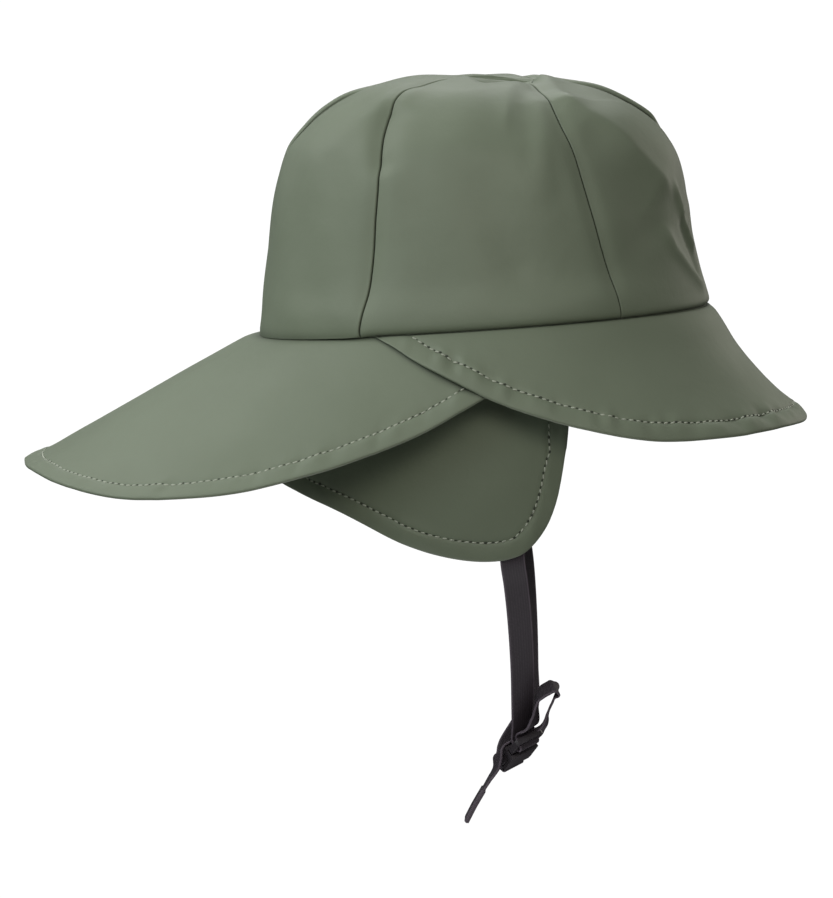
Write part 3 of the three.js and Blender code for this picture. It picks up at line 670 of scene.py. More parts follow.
def crown_panel(name, side, seam, settings):
    """One panel of the crown, between a seam and the next one; side is 1 on the wearer's left."""
    step = settings.mesh_step / MM
    ring, marks, from_edge = panel_rows(side, seam, step)
    seams = [np.zeros_like(ring), None, None, np.full_like(ring, 180.0)]
    seams[1] = read(CROWN_RINGS, "ring", ring, "front_seam")
    seams[2] = read(CROWN_RINGS, "ring", ring, "rear_seam")
    rolls, depths = np.array([SEAM_ROLLS, SEAM_DEPTHS])[:, seam : seam + 2]
    first, last = side * seams[seam], side * seams[seam + 1]
    if side < 0:
        first, last = last, first
        rolls, depths = rolls[::-1], depths[::-1]

    turn, distance, span = panel_columns(ring, first, last, step)

    places = crown_point(ring, turn)
    normal = normals_of(crown_point, np.clip(ring, *SMOOTH_ENDS), turn)
    to_seam = np.minimum(distance, span - distance)
    hub = np.stack([read(CROWN_RINGS, "ring", ring, "shift"), 0 * ring, 0 * ring], -1)
    radius = lengths((places - hub)[..., :2])
    low_fade = (places[..., 2] - seam_height(turn)) / VALLEY_LOW_FADE
    fade = np.clip(np.minimum(low_fade, radius / VALLEY_TOP_FADE), 0, 1)
    valley = VALLEY_DEPTH * np.exp(-((to_seam / VALLEY_WIDTH) ** 2)) * fade
    wave = settings.wrinkle / MM * ripple(places, 3, CROWN_WAVE)
    wave *= np.clip(radius / TOP_CALM, 0, 1) * np.clip(from_edge / EDGE_CALM, 0, 1)
    base = fold_rise(places) - valley + wave
    roll = np.minimum(settings.seam_roll / MM, MOST_ROLL * span)
    first_roll, last_roll = roll * rolls[0], roll * rolls[1]
    sunk = np.maximum(
        pinch(distance, first_roll, depths[0] * first_roll),
        pinch(span - distance, last_roll, depths[1] * last_roll),
    )
    in_front = np.clip((EDGE_ROLL_TURN - from_front(turn)) / EDGE_ROLL_CHANGE, 0, 1)
    size = mix(REAR_EDGE_ROLL, FRONT_EDGE_ROLL, in_front)
    sunk = np.maximum(sunk, pinch(from_edge, EDGE_ROLL_WIDTH * size, EDGE_ROLL_DEPTH * size))
    outer = places + normal * (base - sunk)[..., None]
    if side > 0:
        lean, lift = seam_lip(places, seam, distance, span)
        outer += normal * lift[..., None]
        outer[..., 1] += lean
    ridge = ALLOWANCE_HEIGHT * np.clip((ALLOWANCE_WIDTH - to_seam) / ALLOWANCE_SLOPE, 0, 1)
    ridge = ridge * np.clip(from_edge / ALLOWANCE_END - 1, 0, 1)
    inner = places + normal * (base - WALL - ridge)[..., None]

    outer, inner = with_tip(outer, inner)
    inner = closed(outer, inner)
    down = np.concatenate([3 * np.array(TIP_ROWS) - 3, marks])
    across = np.vstack([distance[:1]] * len(TIP_ROWS) + [distance])
    uv = np.stack(np.broadcast_arrays(across, down[:, None]), -1)
    return wall_mesh(name, outer, inner, uv)


# Brims and flap


def even_turns(surface, first, last, step):
    """Turns whose places on a piece's edge are a step apart."""
    turns = np.linspace(first, last, 2001)
    arcs = arcs_of(surface(1.0, turns))
    count = int(arcs[-1] / step)
    return np.interp(np.linspace(0, arcs[-1], count), arcs, turns)


def hanging_point(outline, share, turn, out, drop, fall):
    """A place on a brim or the flap, which leaves the seam at the given out and drop."""
    size = from_front(turn)
    reach = mix(out, read(outline, "turn", size, "out"), share)
    sink = mix(drop, read(outline, "turn", size, "drop"), fall)
    return oval_point(turn, reach, seam_height(turn) - sink)


def front_brim_point(share, turn):
    hollow = np.maximum(0, np.cos(np.radians(turn)))
    fall = mix(share, read(FRONT_SECTION, "share", share, "fall"), hollow)
    return hanging_point(FRONT_BRIM, share, turn, 0, 0.15, fall)


def rear_brim_point(share, turn):
    hollow = np.maximum(0, -np.cos(np.radians(turn)))
    fall = mix(share, read(REAR_SECTION, "share", share, "fall"), hollow)
    return hanging_point(REAR_BRIM, share, turn, -REAR_BRIM_INSET, -0.2, fall)


def flap_point(share, turn):
    height = read(FLAP, "turn", from_front(turn), "drop") + FLAP_COLLAR
    hang = np.maximum(0, share * height - FLAP_COLLAR) / height
    place = hanging_point(FLAP, share, turn, -FLAP_INSET, -FLAP_COLLAR, share)
    outward = oval_point(turn, 1, 0) - oval_point(turn, 0, 0)
    return place + outward * (FLAP_BULGE * np.sin(np.pi * hang))[..., None]


def column_shares(near_shares, count):
    """Shares of a column's rows: evenly spaced from the seam down, then those near the edge."""
    rest = np.linspace(0, near_shares[-1], count + 1)[:-1]
    return np.concatenate([rest, near_shares[::-1]])


def brim_grid(surface, turns, step):
    """Shares of a brim's width for each row and column: set by distance near the edge, and
    evenly spaced from there to the seam."""
    edge = surface(1.0, turns)
    shares = np.linspace(0, 1, 161)[:, None]
    places = surface(shares, turns[None, :])
    near = np.array(EDGE_ROWS)
    width = lengths(np.diff(places, axis=0)).sum(0)
    middle = max(4, int((width.max() - near[-1]) / step))
    grid = []
    for column in edge_distance(places, edge).T:
        fit = min(1, 0.6 * column[0] / near[-1])
        rising = np.maximum.accumulate(column[::-1])
        grid.append(column_shares(np.interp(near * fit, rising, shares[::-1, 0]), middle))
    return np.array(grid).T, edge


def hung_piece(name, surface, shares, turns, edge, collar_rows, settings, seed, pull):
    """Makes a brim's or the flap's mesh. collar_rows are its places above the seam, from the
    top down, and pull is the height of the puckers along its stitching. Returns the mesh, and
    its outer face with its normals."""
    turns = np.broadcast_to(turns, shares.shape)
    places = surface(shares, turns)
    normal = normals_of(surface, np.clip(shares, 2e-3, 1 - 2e-3), turns)
    away = edge_distance(places, edge)
    from_seam = np.concatenate(
        [np.zeros((1, shares.shape[1])), np.cumsum(lengths(np.diff(places, axis=0)), axis=0)]
    )
    calm = np.clip(from_seam / SEAM_CALM, 0, 1)
    wave = settings.wrinkle / MM * ripple(places, seed, HANGING_WAVE) * calm
    across = mix(places[-1:], places, 0.3)
    pucker = ripple(across, seed + 1, PUCKER_WAVE)
    pucker = pucker + FINE_PUCKERS * ripple(across, seed + 2, FINE_PUCKER_WAVE)
    pucker *= pull * np.exp(-(((away - PUCKER_PLACE) / PUCKER_SPREAD) ** 2)) * calm
    base = wave + pucker
    easing = np.clip(away.max(0) / HEM_ROOM, 0.3, 1)
    outer = places + normal * (base + read(HEM, "edge", away, "outer") * easing)[..., None]
    inner = places + normal * (base + read(HEM, "edge", away, "inner") * easing)[..., None]
    top_out = np.array(collar_rows(turns[0]))
    inward = oval_point(turns[0], -1, 0) - oval_point(turns[0], 0, 0)
    outer_all = np.concatenate([top_out, outer])
    inner_all = np.concatenate([top_out + inward * COLLAR_WALL, inner])
    away_all = np.concatenate([np.full(top_out.shape[:2], FAR), away])
    inner_all = closed(outer_all, inner_all)
    arcs = arcs_of(places[-1])
    uv = np.stack(np.broadcast_arrays(arcs, np.minimum(away_all, FAR)), -1)
    mesh = wall_mesh(name, outer_all, inner_all, uv, hem=away_all < settings.hem_width / MM + 2)
    return mesh, outer, normal


# Stitching


def stitch_line(outer, normal, edge, inset, keep):
    """A line on a piece's outer face at a distance inside its edge, with its normals; keep says
    which places of that face it may run over, by their row, column and height."""
    flat, ways = outer.reshape(-1, 3), normal.reshape(-1, 3)
    marks, ahead = along_line(edge, 0.8)
    nearest = np.array([((flat - m) ** 2).sum(1).argmin() for m in marks])
    inward = unit(np.cross(ways[nearest], ahead))
    marks = marks + inward * inset
    rows = np.array([((flat - m) ** 2).sum(1).argmin() for m in marks])
    gap = ((marks - flat[rows]) * ways[rows]).sum(1)
    line = marks - ways[rows] * gap[:, None]
    chosen = keep(rows // outer.shape[1], rows % outer.shape[1], flat[rows, 2])
    return line[chosen], ways[rows][chosen]


def stitches(name, line, ways, settings, hole):
    """A row of stitches, and the painted shade of the needle holes between them, at a share of its
    full size.
    """
    pitch = settings.stitch_pitch / MM
    places, ahead = along_line(line, pitch, margin=1.5)
    up = np.array([ways[((line - p) ** 2).sum(1).argmin()] for p in places])
    side = unit(np.cross(up, ahead))
    random = np.random.default_rng(len(places))
    half = settings.stitch_length / MM / 2
    matrices, holes = [], []
    for p, a, u, s in zip(places, ahead, up, side):
        lean = random.normal(STITCH_LEAN, 0.06)
        a, s = a + s * lean, s - a * lean
        size = random.normal(1, 0.05)
        middle = p + u * 0.02
        thread = [s * THREAD_WIDTH, u * THREAD_HEIGHT, a * half * size, middle]
        matrices.append(np.stack(thread, -1))
        # a needle hole's shade is painted: a dark mark lying just on the cloth
        between = p + a * pitch / 2 + u * 0.02
        hole_shade_frame = [s * HOLE_SHADE_WIDTH * hole, u * HOLE_SHADE_HEIGHT, a * HOLE_SHADE_LENGTH * hole, between]
        holes.append(np.stack(hole_shade_frame, -1))
    shape = bmesh.new()
    bmesh.ops.create_uvsphere(shape, u_segments=6, v_segments=5, radius=1)
    piece = linked(name, copies_mesh(name, shape, matrices), finish("thread"))
    # dark marks of painted shade at the needle holes
    hole_shade_piece = linked(name + "_hole_shades", copies_mesh(name, shape, holes), finish("needle_hole_shade"))
    shape.free()
    dressed(piece, "coated_fabric")
    dressed(hole_shade_piece, "coated_fabric")


def hang(surface, shares, turns, edge, collar, settings, name, seed, pull, keep, hole=1):
    """Builds a brim or the flap with its stitching, in place of its CAD node."""
    mesh, outer, normal = hung_piece(
        name, surface, shares, turns, edge, collar, settings, seed, pull
    )
    piece = linked(name + "_cloth", mesh, finish("coated_fabric"), finish("knit_backing"))
    dressed(piece, "coated_fabric", name)
    line, ways = stitch_line(outer, normal, edge, settings.hem_width / MM, keep)
    stitches(name + "_stitching", line, ways, settings, hole)


# Strap


def spline(points, sections):
    """Places on a centripetal Catmull-Rom curve through points, evenly spaced between them."""
    points = np.asarray(points, float)
    ends = 2 * points[0] - points[1], 2 * points[-1] - points[-2]
    padded = np.vstack([ends[0], points, ends[1]])
    places = []
    for k in range(len(points) - 1):
        p0, p1, p2, p3 = padded[k : k + 4]
        t0, t1, t2 = (np.linalg.norm(b - a) ** 0.5 for a, b in ((p0, p1), (p1, p2), (p2, p3)))
        start = ((p1 - p0) / t0 - (p2 - p0) / (t0 + t1) + (p2 - p1) / t1) * t1
        end = ((p2 - p1) / t1 - (p3 - p1) / (t1 + t2) + (p3 - p2) / t2) * t1
        t = np.arange(sections)[:, None] / sections
        if k == len(points) - 2:
            t = np.vstack([t, [[1.0]]])
        places.append(bend(t, p1, start, p2, end))
    return np.vstack(places)


def in_hat(route):
    """A route's places, and the directions of the tape's width there, in the hat's frame."""
    named = {"width": BUCKLE_WIDTH, "length": BUCKLE_LENGTH}
    points, widths = [], []
    for where, a, b, c, face in route:
        if where == "hat":
            points.append((a, b, c))
        else:
            place = BUCKLE_CENTRE + BUCKLE_LENGTH * a + BUCKLE_WIDTH * b + BUCKLE_THROUGH * c
            points.append(tuple(place))
        widths.append(tuple(named[face]) if isinstance(face, str) else face)
    return points, unit(np.array(widths, float))


def tape_mesh(name, route, hemmed, settings):
    """A flat tape with rounded edges along a route, its last hemmed rows in two layers."""
    points, widths = in_hat(route)
    sections = 12
    course = spline(points, sections)
    marks = np.arange(len(course)) / sections
    rows = np.arange(len(route))
    face = np.stack([np.interp(marks, rows, widths[:, k]) for k in range(3)], -1)
    for _ in range(sections):
        face[1:-1] = (face[:-2] + 2 * face[1:-1] + face[2:]) / 4
    ahead = unit(np.gradient(course, axis=0))
    face = unit(face - (face * ahead).sum(1)[:, None] * ahead)
    up = np.cross(ahead, face)
    arcs = arcs_of(course)
    thick = np.full(len(course), STRAP_WALL)
    if hemmed:
        double = marks >= len(route) - hemmed
        thick[double] *= 2

    half = settings.tape_width / MM / 2
    across = np.array(TAPE_COLUMNS) * half
    past = np.maximum(np.abs(across) - half + TAPE_ROUNDING, 0) / TAPE_ROUNDING
    lift = np.sqrt(np.clip(1 - past**2, 0, 1))
    lift[[0, -1]] = 0
    round_across = np.concatenate([across, across[-2::-1]])
    round_lift = np.concatenate([lift, -lift[-2::-1]])
    ring = course[:, None] + face[:, None] * round_across[:, None]
    ring = ring + up[:, None] * (round_lift[:, None] * thick[:, None, None] / 2)
    first = course[0] + face[0] * round_across[:, None]
    last = course[-1] + face[-1] * round_across[:, None]
    fold_out = ahead[-1] * 0.4
    places = np.concatenate([[first], ring, [last + fold_out]])
    places[0] -= ahead[0] * 0.05
    arcs = np.concatenate([[arcs[0]], arcs, [arcs[-1] + 0.5]])
    uv = np.stack(np.broadcast_arrays(arcs[:, None], round_across), -1)
    return grid_mesh(name, places, uv)


# Materials


def node(tree, kind, inputs=None, **settings):
    made = tree.nodes.new(kind)
    for key, value in settings.items():
        setattr(made, key, value)
    for key, value in (inputs or {}).items():
        if isinstance(value, bpy.types.NodeSocket):
            tree.links.new(value, made.inputs[key])
        else:
            made.inputs[key].default_value = value
    return made


def new_material(name, **sockets):
    material = bpy.data.materials.new(name)
    material.use_nodes = True
    shader = material.node_tree.nodes["Principled BSDF"]
    for key, value in sockets.items():
        shader.inputs[key.replace("_", " ").title()].default_value = value
    return material, material.node_tree, shader


def shade(colour, amount):
    """A colour made lighter or darker by a share."""
    return tuple(min(1, c * amount) for c in colour[:3]) + (1,)


def colour_between(tree, share, dark, light):
    return node(tree, "ShaderNodeMix", {0: share, 6: dark, 7: light}, data_type="RGBA").outputs[2]


def noise(tree, place, scale, detail=2):
    made = node(tree, "ShaderNodeTexNoise", {"Vector": place, "Scale": scale, "Detail": detail})
    return made.outputs["Fac"]


def ranged(tree, value, **limits):
    """A value brought from one range to another."""
    limits = {key.replace("_", " ").title(): limit for key, limit in limits.items()}
    return node(tree, "ShaderNodeMapRange", {"Value": value, **limits}).outputs[0]


def bump(tree, height, strength, distance, **more):
    inputs = {"Height": height, "Strength": strength, "Distance": distance, **more}
    return node(tree, "ShaderNodeBump", inputs).outputs["Normal"]


def bands(tree, surface, scale, distortion, direction):
    """The ribs of a woven tape, across one direction of its surface."""
    inputs = {"Vector": surface, "Scale": scale, "Distortion": distortion, "Detail": 1}
    made = node(tree, "ShaderNodeTexWave", inputs, wave_type="BANDS", bands_direction=direction)
    return made.outputs["Fac"]


def object_place(tree):
    return node(tree, "ShaderNodeTexCoord").outputs["Object"]


def surface_place(tree):
    """The place on the piece's own surface, in metres."""
    return node(tree, "ShaderNodeUVMap", uv_map="Surface").outputs["UV"]


def join(tree, shader, **values):
    for key, value in values.items():
        tree.links.new(value, shader.inputs[key.replace("_", " ").title()])


def fabric_material(settings):
    """Smooth coated fabric: a soft sheen, a fine grain and faint clouds of tone. Its colour has
    painted shade: its seams and other narrow places are darker, the more closed in they are."""
    material, tree, shader = new_material("coated_fabric", roughness=0.5)
    place = object_place(tree)
    colour = settings.fabric_colour
    clouds = noise(tree, place, 26, 3)
    tone = colour_between(tree, clouds, shade(colour, 0.92), shade(colour, 1.08))
    # painted shade: where other surfaces close in within 15 mm, the colour darkens towards a quarter
    # of its tone
    occlusion_for_painted_shade = node(tree, "ShaderNodeAmbientOcclusion", {"Distance": 15 * MM}, samples=8)
    unshaded_share = ranged(tree, occlusion_for_painted_shade.outputs["AO"], from_min=0.25, from_max=0.88)
    tone = colour_between(tree, unshaded_share, shade(colour, 0.25), tone)
    rough = ranged(tree, noise(tree, place, 60), to_min=0.5, to_max=0.62)
    fine = bump(tree, noise(tree, place, 1500), 0.12, 0.2 * MM)
    soft = bump(tree, noise(tree, place, 130, 3), 0.1, 2 * MM, Normal=fine)
    join(tree, shader, base_color=tone, roughness=rough, normal=soft)
    return material


def backing_material(settings):
    """The knitted back of the coated fabric: rows of small loops."""
    material, tree, shader = new_material("knit_backing", roughness=0.9)
    inputs = {"Vector": surface_place(tree), "Scale": 1100, "Randomness": 0.35}
    loops = node(tree, "ShaderNodeTexVoronoi", inputs).outputs["Distance"]
    colour = settings.backing_colour
    tone = colour_between(tree, loops, shade(colour, 1.1), shade(colour, 0.7))
    join(tree, shader, base_color=tone, normal=bump(tree, loops, 0.5, -0.3 * MM))
    return material


def thread_material(settings):
    material, tree, shader = new_material("thread", roughness=0.55)
    fibres = noise(tree, object_place(tree), 1800)
    colour = settings.thread_colour
    tone = colour_between(tree, fibres, shade(colour, 0.85), shade(colour, 1.12))
    join(tree, shader, base_color=tone, normal=bump(tree, fibres, 0.4, 0.2 * MM))
    return material


def hole_shade_material(settings):
    """Painted shade for a needle hole: a dark mark that stands in for the hole's shadow."""
    material, tree, shader = new_material("needle_hole_shade", roughness=0.9)
    specks = noise(tree, object_place(tree), 900)
    colour = settings.fabric_colour
    tone = colour_between(tree, specks, shade(colour, 0.2), shade(colour, 0.42))
    join(tree, shader, base_color=tone)
    return material


def tape_material(settings):
    """Woven tape: fine ribs across it, and a lighter colour along each edge."""
    material, tree, shader = new_material("strap_tape", roughness=0.7)
    surface = surface_place(tree)
    split = node(tree, "ShaderNodeSeparateXYZ", {"Vector": surface})
    ribs = bands(tree, surface, 420, 0.4, "X")
    yarns = bands(tree, surface, 300, 0.3, "Y")
    side = node(tree, "ShaderNodeMath", {0: split.outputs["Y"]}, operation="ABSOLUTE")
    # the colour is lighter along each edge
    edge_band = ranged(tree, side.outputs[0], from_min=4.2 * MM, from_max=4.6 * MM)
    weave = node(tree, "ShaderNodeMath", {0: ribs, 1: yarns}, operation="MULTIPLY").outputs[0]
    colour = settings.tape_colour
    tone = colour_between(tree, weave, shade(colour, 0.8), shade(colour, 1.2))
    tone = colour_between(tree, edge_band, tone, shade(colour, 2.2))
    join(tree, shader, base_color=tone, normal=bump(tree, weave, 0.35, 0.2 * MM))
    return material


def plastic_material(settings):
    """Moulded plastic with a fine grain."""
    material, tree, shader = new_material("buckle_plastic", roughness=0.42)
    place = object_place(tree)
    grain = noise(tree, place, 2600)
    haze = noise(tree, place, 180)
    colour = settings.plastic_colour
    tone = colour_between(tree, haze, shade(colour, 0.8), shade(colour, 1.25))
    rough = ranged(tree, haze, to_min=0.34, to_max=0.5)
    join(tree, shader, base_color=tone, roughness=rough, normal=bump(tree, grain, 0.15, 0.1 * MM))
    return material


MAKERS = {
    "coated_fabric": fabric_material,
    "knit_backing": backing_material,
    "thread": thread_material,
    "needle_hole_shade": hole_shade_material,
    "strap_tape": tape_material,
    "buckle_plastic": plastic_material,
}


def finish(name):
    """The material of that name, made the first time it is asked for."""
    if name not in bpy.data.materials or not bpy.data.materials[name].get("rain_hat"):
        stale = bpy.data.materials.get(name)
        if stale:
            stale.name = name + "_frame"
        MAKERS[name](bpy.context.scene.rain_hat)["rain_hat"] = True
    return bpy.data.materials[name]


# Settings


def colour_setting(name, description, colour):
    return FloatVectorProperty(
        name=name, description=description, subtype="COLOR", min=0, max=1, default=colour
    )


def length_setting(name, description, length, least, most):
    """A length with its limits, given in millimetres."""
    return FloatProperty(
        name=name, description=description, default=length * MM, min=least * MM, max=most * MM,
        subtype="DISTANCE", unit="LENGTH",
    )


def power_setting(name, description, power):
    return FloatProperty(
        name=name, description=description, default=power, min=0, max=200, unit="POWER"
    )


class HatSettings(bpy.types.PropertyGroup):
    fabric_colour: colour_setting("Fabric", "Colour of the coated fabric", (0.229, 0.273, 0.195))
    backing_colour: colour_setting("Backing", "Colour of the knitted back", (0.34, 0.385, 0.31))
    thread_colour: colour_setting("Thread", "Colour of the topstitching", (0.56, 0.6, 0.5))
    tape_colour: colour_setting("Tape", "Colour of the strap", (0.068, 0.056, 0.071))
    plastic_colour: colour_setting("Buckle", "Colour of its plastic", (0.055, 0.048, 0.057))
    mesh_step: length_setting("Mesh step", "Between the rows of the cloth's meshes", 1.3, 0.5, 5)
    seam_roll: length_setting("Seam roll", "Radius of the cloth's roll into a seam", 1, 0.2, 2)
    wrinkle: length_setting("Wrinkles", "Height of the cloth's soft unevenness", 0.3, 0, 1)
    hem_width: length_setting("Hem width", "From the stitching to the edge", 8, 4, 12)
    stitch_pitch: length_setting("Stitch pitch", "Between the needle holes", 3, 2, 5)
    stitch_length: length_setting("Stitch length", "Visible length of one stitch", 1.9, 1, 4)
    tape_width: length_setting("Tape width", "Width of the chin strap", 10, 8, 11)


class StageSettings(bpy.types.PropertyGroup):
    key_light: power_setting("Key light", "Power of the lights behind the hat", 3.9)
    top_light: power_setting("Top light", "Power of the light above the hat's left", 5.6)
    fill_light: power_setting("Fill light", "Power of the lights that lift the shadows", 1.9)
    sky: FloatProperty(
        name="Surroundings", description="Brightness of the room", default=0.17, min=0, max=2
    )
    lens: FloatProperty(
        name="Lens", description="Focal length of the camera", default=144.9, min=20, max=300,
        subtype="DISTANCE_CAMERA",
    )


# Lights and camera


def aim(thing, place, target):
    thing.location = place
    thing.rotation_euler = (target - place).to_track_quat("-Z", "Y").to_euler()


def area_light(name, place, target, size, power, colour):
    data = bpy.data.lights.new(name, "AREA")
    data.shape = "RECTANGLE"
    data.size, data.size_y = size
    data.energy = power
    data.color = colour
    made = bpy.data.objects.new(name, data)
    bpy.context.scene.collection.objects.link(made)
    aim(made, place, target)


def direction(turn, rise):
    """Direction at a turn from the hat's front and a rise above the ground, in degrees."""
    a, e = math.radians(turn), math.radians(rise)
    return Vector((math.cos(e) * math.cos(a), math.cos(e) * math.sin(a), math.sin(e)))


# Lights: turn and rise of their places in degrees, how tall they are in metres, the setting that
# drives their power and their share of it, and their colour
LIGHTS = (
    ("key", -140, 24, 0.8, "key_light", 1.12, (0.93, 1.0, 1.0)),
    ("rear", 180, 42, 0.8, "key_light", 0.8, (1, 1, 1)),
    ("above", 84, 54, 0.8, "top_light", 1, (1, 1, 1)),
    ("front_rim", 38, 12, 0.8, "fill_light", 1.35, (1.05, 1.0, 0.88)),
    ("right_side", -88, 22, 0.35, "fill_light", 1.75, (1.05, 1.0, 0.9)),
    ("rear_left", 155, 40, 0.8, "fill_light", 1, (1, 1, 1)),
    ("below", 90, -85, 0.8, "fill_light", 2.6, (1, 1, 1)),
)
LIGHT_DISTANCE, LIGHT_WIDTH = 1.3, 0.8
CAMERA_TURN, CAMERA_RISE, CAMERA_DISTANCE = -91.5, 6.5, 1.5
# Where the lights and the camera point, in metres
LIT_PLACE = Vector((-0.028, 0, -0.03))
SEEN_PLACE = Vector((-0.028, 0, -0.0546))


# Operators


class RAINHAT_OT_crown(bpy.types.Operator):
    """Builds the six panels of the crown"""

    bl_idname = "rain_hat.crown"
    bl_label = "Crown Panels"

    def execute(self, context):
        settings = context.scene.rain_hat
        for side, word in ((-1, "right"), (1, "left")):
            for seam, part in enumerate(PANELS):
                name = f"crown_{part}_{word}"
                mesh = crown_panel(name, side, seam, settings)
                piece = linked(name + "_cloth", mesh, finish("coated_fabric"), finish("knit_backing"))
                dressed(piece, "coated_fabric", name)
        return {"FINISHED"}


class RAINHAT_OT_front_brim(bpy.types.Operator):
    """Builds the front brim with its hem and stitching"""

    bl_idname = "rain_hat.front_brim"
    bl_label = "Front Brim"

    def execute(self, context):
        settings = context.scene.rain_hat
        step = settings.mesh_step / MM
        turns = even_turns(front_brim_point, -BRIM_END, BRIM_END, step)
        shares, edge = brim_grid(front_brim_point, turns, step)

        def collar(turn):
            outs, ups = (-1.75, -1.75, -1.6, -1.3, -0.9, -0.5), (3, 1, 0.3, 0.05, -0.05, -0.1)
            return [oval_point(turn, o, seam_height(turn) + u) for o, u in zip(outs, ups)]

        hang(
            front_brim_point, shares, turns, edge, collar, settings, "front_brim",
            seed=11, pull=0.42, keep=lambda row, column, height: row > 0,
        )
        return {"FINISHED"}


class RAINHAT_OT_rear_brim(bpy.types.Operator):
    """Builds the rear brim with its hem and stitching"""

    bl_idname = "rain_hat.rear_brim"
    bl_label = "Rear Brim"

    def execute(self, context):
        settings = context.scene.rain_hat
        step = settings.mesh_step / MM
        turns = even_turns(rear_brim_point, REAR_BRIM_START, 360 - REAR_BRIM_START, step)
        shares, edge = brim_grid(rear_brim_point, turns, step)
        shown = from_front(turns) > STITCHES_START

        def collar(turn):
            level = seam_height(turn)
            return [oval_point(turn, -REAR_BRIM_INSET, level + u) for u in (3, 1.6, 0.8, 0.4)]

        hang(
            rear_brim_point, shares, turns, edge, collar, settings, "rear_brim",
            seed=23, pull=0.2, hole=0.6, keep=lambda row, column, height: (row > 0) & shown[column],
        )
        return {"FINISHED"}


class RAINHAT_OT_flap(bpy.types.Operator):
    """Builds the ear and neck flap with its hem and stitching"""

    bl_idname = "rain_hat.flap"
    bl_label = "Ear and Neck Flap"

    def execute(self, context):
        settings = context.scene.rain_hat
        step = settings.mesh_step / MM
        near = np.array(EDGE_ROWS)
        seam_arc = HALF_WIDTH * math.pi / 180
        turns = even_turns(
            lambda share, turn: flap_point(0.5, turn), FLAP_START, 360 - FLAP_START, step
        )
        first = FLAP_START + near / seam_arc
        middle = turns[(turns > first[-1] + 0.5) & (turns < 359.5 - first[-1])]
        turns = np.concatenate([first, middle, 360 - first[::-1]])
        height = read(FLAP, "turn", from_front(turns), "drop") + FLAP_COLLAR
        rows = int((height.max() - near[-1]) / step)
        shares = np.array([column_shares(1 - near / tall, rows) for tall in height]).T
        down = np.linspace(0.02, 1, 120)
        start = flap_point(down, np.full(120, turns[0]))[:-1]
        end = flap_point(down[::-1], np.full(120, turns[-1]))[1:]
        edge = np.concatenate([start, flap_point(1.0, turns), end])

        def collar(turn):
            return [oval_point(turn, -FLAP_INSET, seam_height(turn) + FLAP_COLLAR + 0.2)]

        hang(
            flap_point, shares, turns, edge, collar, settings, "ear_neck_flap",
            seed=37, pull=0.24,
            keep=lambda row, column, height: height < seam_height(turns[column]) - 4,
        )
        return {"FINISHED"}


class RAINHAT_OT_strap(bpy.types.Operator):
    """Builds the two parts of the chin strap"""

    bl_idname = "rain_hat.strap"
    bl_label = "Chin Strap"

    def execute(self, context):
        settings = context.scene.rain_hat
        for name, route, hemmed in (
            ("chin_strap_right", RIGHT_STRAP, HEMMED_ROWS),
            ("chin_strap_left", LEFT_STRAP, 0),
        ):
            mesh = tape_mesh(name, route, hemmed, settings)
            piece = linked(name + "_tape", mesh, finish("strap_tape"))
            dressed(piece, "strap_tape", name)
        return {"FINISHED"}


class RAINHAT_OT_buckle(bpy.types.Operator):
    """Rounds the edges of the buckle's two halves"""

    bl_idname = "rain_hat.buckle"
    bl_label = "Buckle"

    def execute(self, context):
        for name in ("buckle_plug", "buckle_socket"):
            bm = bmesh.new()
            bm.from_mesh(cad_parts[name].data)
            bmesh.ops.remove_doubles(bm, verts=bm.verts, dist=1e-6)
            bmesh.ops.dissolve_limit(
                bm, angle_limit=math.radians(2), verts=bm.verts, edges=bm.edges
            )
            sharp = [e for e in bm.edges if e.is_manifold and e.calc_face_angle(0) > 0.5]
            bmesh.ops.bevel(
                bm, geom=sharp, offset=BUCKLE_ROUNDING * MM, affect="EDGES", segments=3, profile=0.5,
                material=-1, clamp_overlap=True,
            )
            for face in bm.faces:
                face.smooth = True
            mesh = bpy.data.meshes.new(name)
            bm.to_mesh(mesh)
            bm.free()
            piece = linked(name + "_moulded", mesh, finish("buckle_plastic"))
            dressed(piece, "buckle_plastic", name)
        return {"FINISHED"}


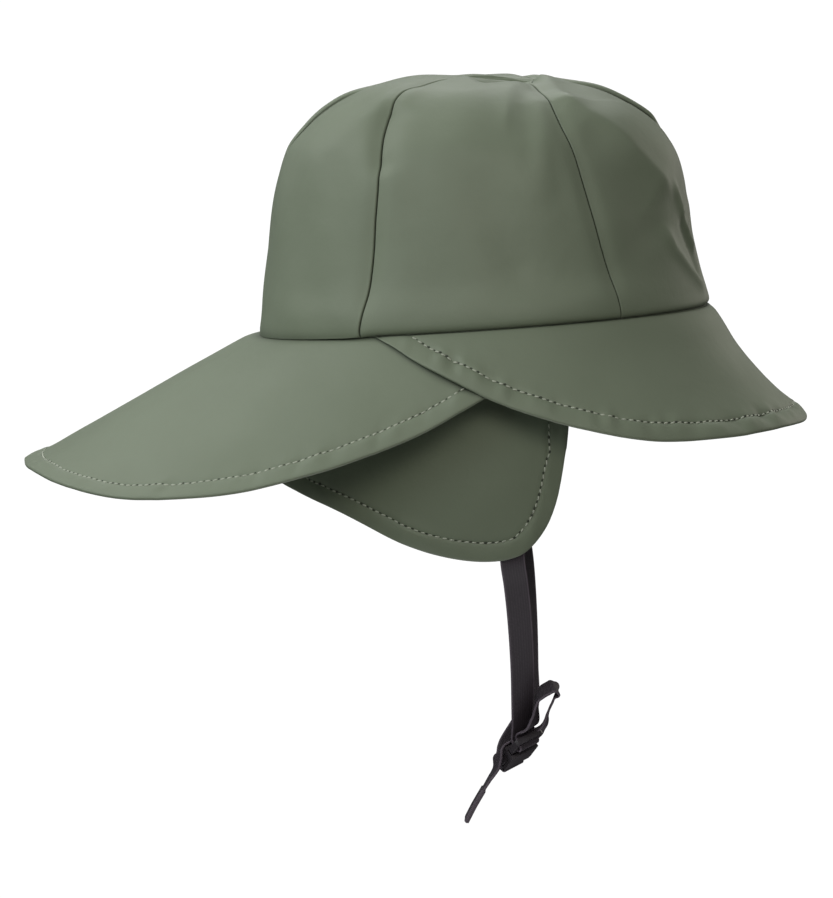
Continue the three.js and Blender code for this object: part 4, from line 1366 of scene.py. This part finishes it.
class RAINHAT_OT_stage(bpy.types.Operator):
    """Sets the room, the lights and the camera"""

    bl_idname = "rain_hat.stage"
    bl_label = "Stage"

    def execute(self, context):
        settings = context.scene.rain_hat_stage
        scene = context.scene
        scene.view_settings.view_transform = "Standard"

        world = bpy.data.worlds.new("room")
        world.use_nodes = True
        tree = world.node_tree
        tree.nodes.clear()
        seen = node(tree, "ShaderNodeBackground", {"Color": (1, 1, 1, 1), "Strength": 1.05})
        way = node(tree, "ShaderNodeTexCoord").outputs["Generated"]
        up = node(tree, "ShaderNodeSeparateXYZ", {"Vector": way}).outputs["Z"]
        low = settings.sky * 0.15
        glow = ranged(tree, up, from_min=-0.4, from_max=0.4, to_min=low, to_max=settings.sky)
        lit = node(tree, "ShaderNodeBackground", {"Color": (1, 1, 1, 1), "Strength": glow})
        path = node(tree, "ShaderNodeLightPath")
        choice = node(tree, "ShaderNodeMixShader", {0: path.outputs["Is Camera Ray"]})
        tree.links.new(lit.outputs[0], choice.inputs[1])
        tree.links.new(seen.outputs[0], choice.inputs[2])
        out = node(tree, "ShaderNodeOutputWorld")
        tree.links.new(choice.outputs[0], out.inputs["Surface"])
        scene.world = world

        for name, turn, rise, tall, setting, share, colour in LIGHTS:
            place = LIT_PLACE + LIGHT_DISTANCE * direction(turn, rise)
            power = getattr(settings, setting) * share
            area_light(name, place, LIT_PLACE, (LIGHT_WIDTH, tall), power, colour)

        camera = bpy.data.cameras.new("camera")
        camera.sensor_fit = "VERTICAL"
        camera.sensor_height = 36
        camera.lens = settings.lens
        camera.clip_end = 50
        made = bpy.data.objects.new("camera", camera)
        scene.collection.objects.link(made)
        place = SEEN_PLACE + CAMERA_DISTANCE * direction(CAMERA_TURN, CAMERA_RISE)
        aim(made, place, SEEN_PLACE)
        scene.camera = made
        return {"FINISHED"}


class RAINHAT_PT_panel(bpy.types.Panel):
    """Lists the hat's settings and the steps that build it"""

    bl_idname = "RAINHAT_PT_panel"
    bl_label = "Rain Hat"
    bl_space_type = "VIEW_3D"
    bl_region_type = "UI"
    bl_category = "Rain Hat"

    def draw(self, context):
        for group in (context.scene.rain_hat, context.scene.rain_hat_stage):
            for name in type(group).__annotations__:
                self.layout.prop(group, name)
        for operator in OPERATORS:
            self.layout.operator(operator.bl_idname)


OPERATORS = (
    RAINHAT_OT_crown,
    RAINHAT_OT_front_brim,
    RAINHAT_OT_rear_brim,
    RAINHAT_OT_flap,
    RAINHAT_OT_strap,
    RAINHAT_OT_buckle,
    RAINHAT_OT_stage,
)
CLASSES = (HatSettings, StageSettings) + OPERATORS + (RAINHAT_PT_panel,)


def register():
    for each in CLASSES:
        bpy.utils.register_class(each)
    bpy.types.Scene.rain_hat = PointerProperty(type=HatSettings)
    bpy.types.Scene.rain_hat_stage = PointerProperty(type=StageSettings)


def unregister():
    del bpy.types.Scene.rain_hat_stage
    del bpy.types.Scene.rain_hat
    for each in reversed(CLASSES):
        bpy.utils.unregister_class(each)


def main():
    register()
    for step in ("crown", "front_brim", "rear_brim", "flap", "strap", "buckle", "stage"):
        getattr(bpy.ops.rain_hat, step)()


if __name__ == "__main__":
    main()
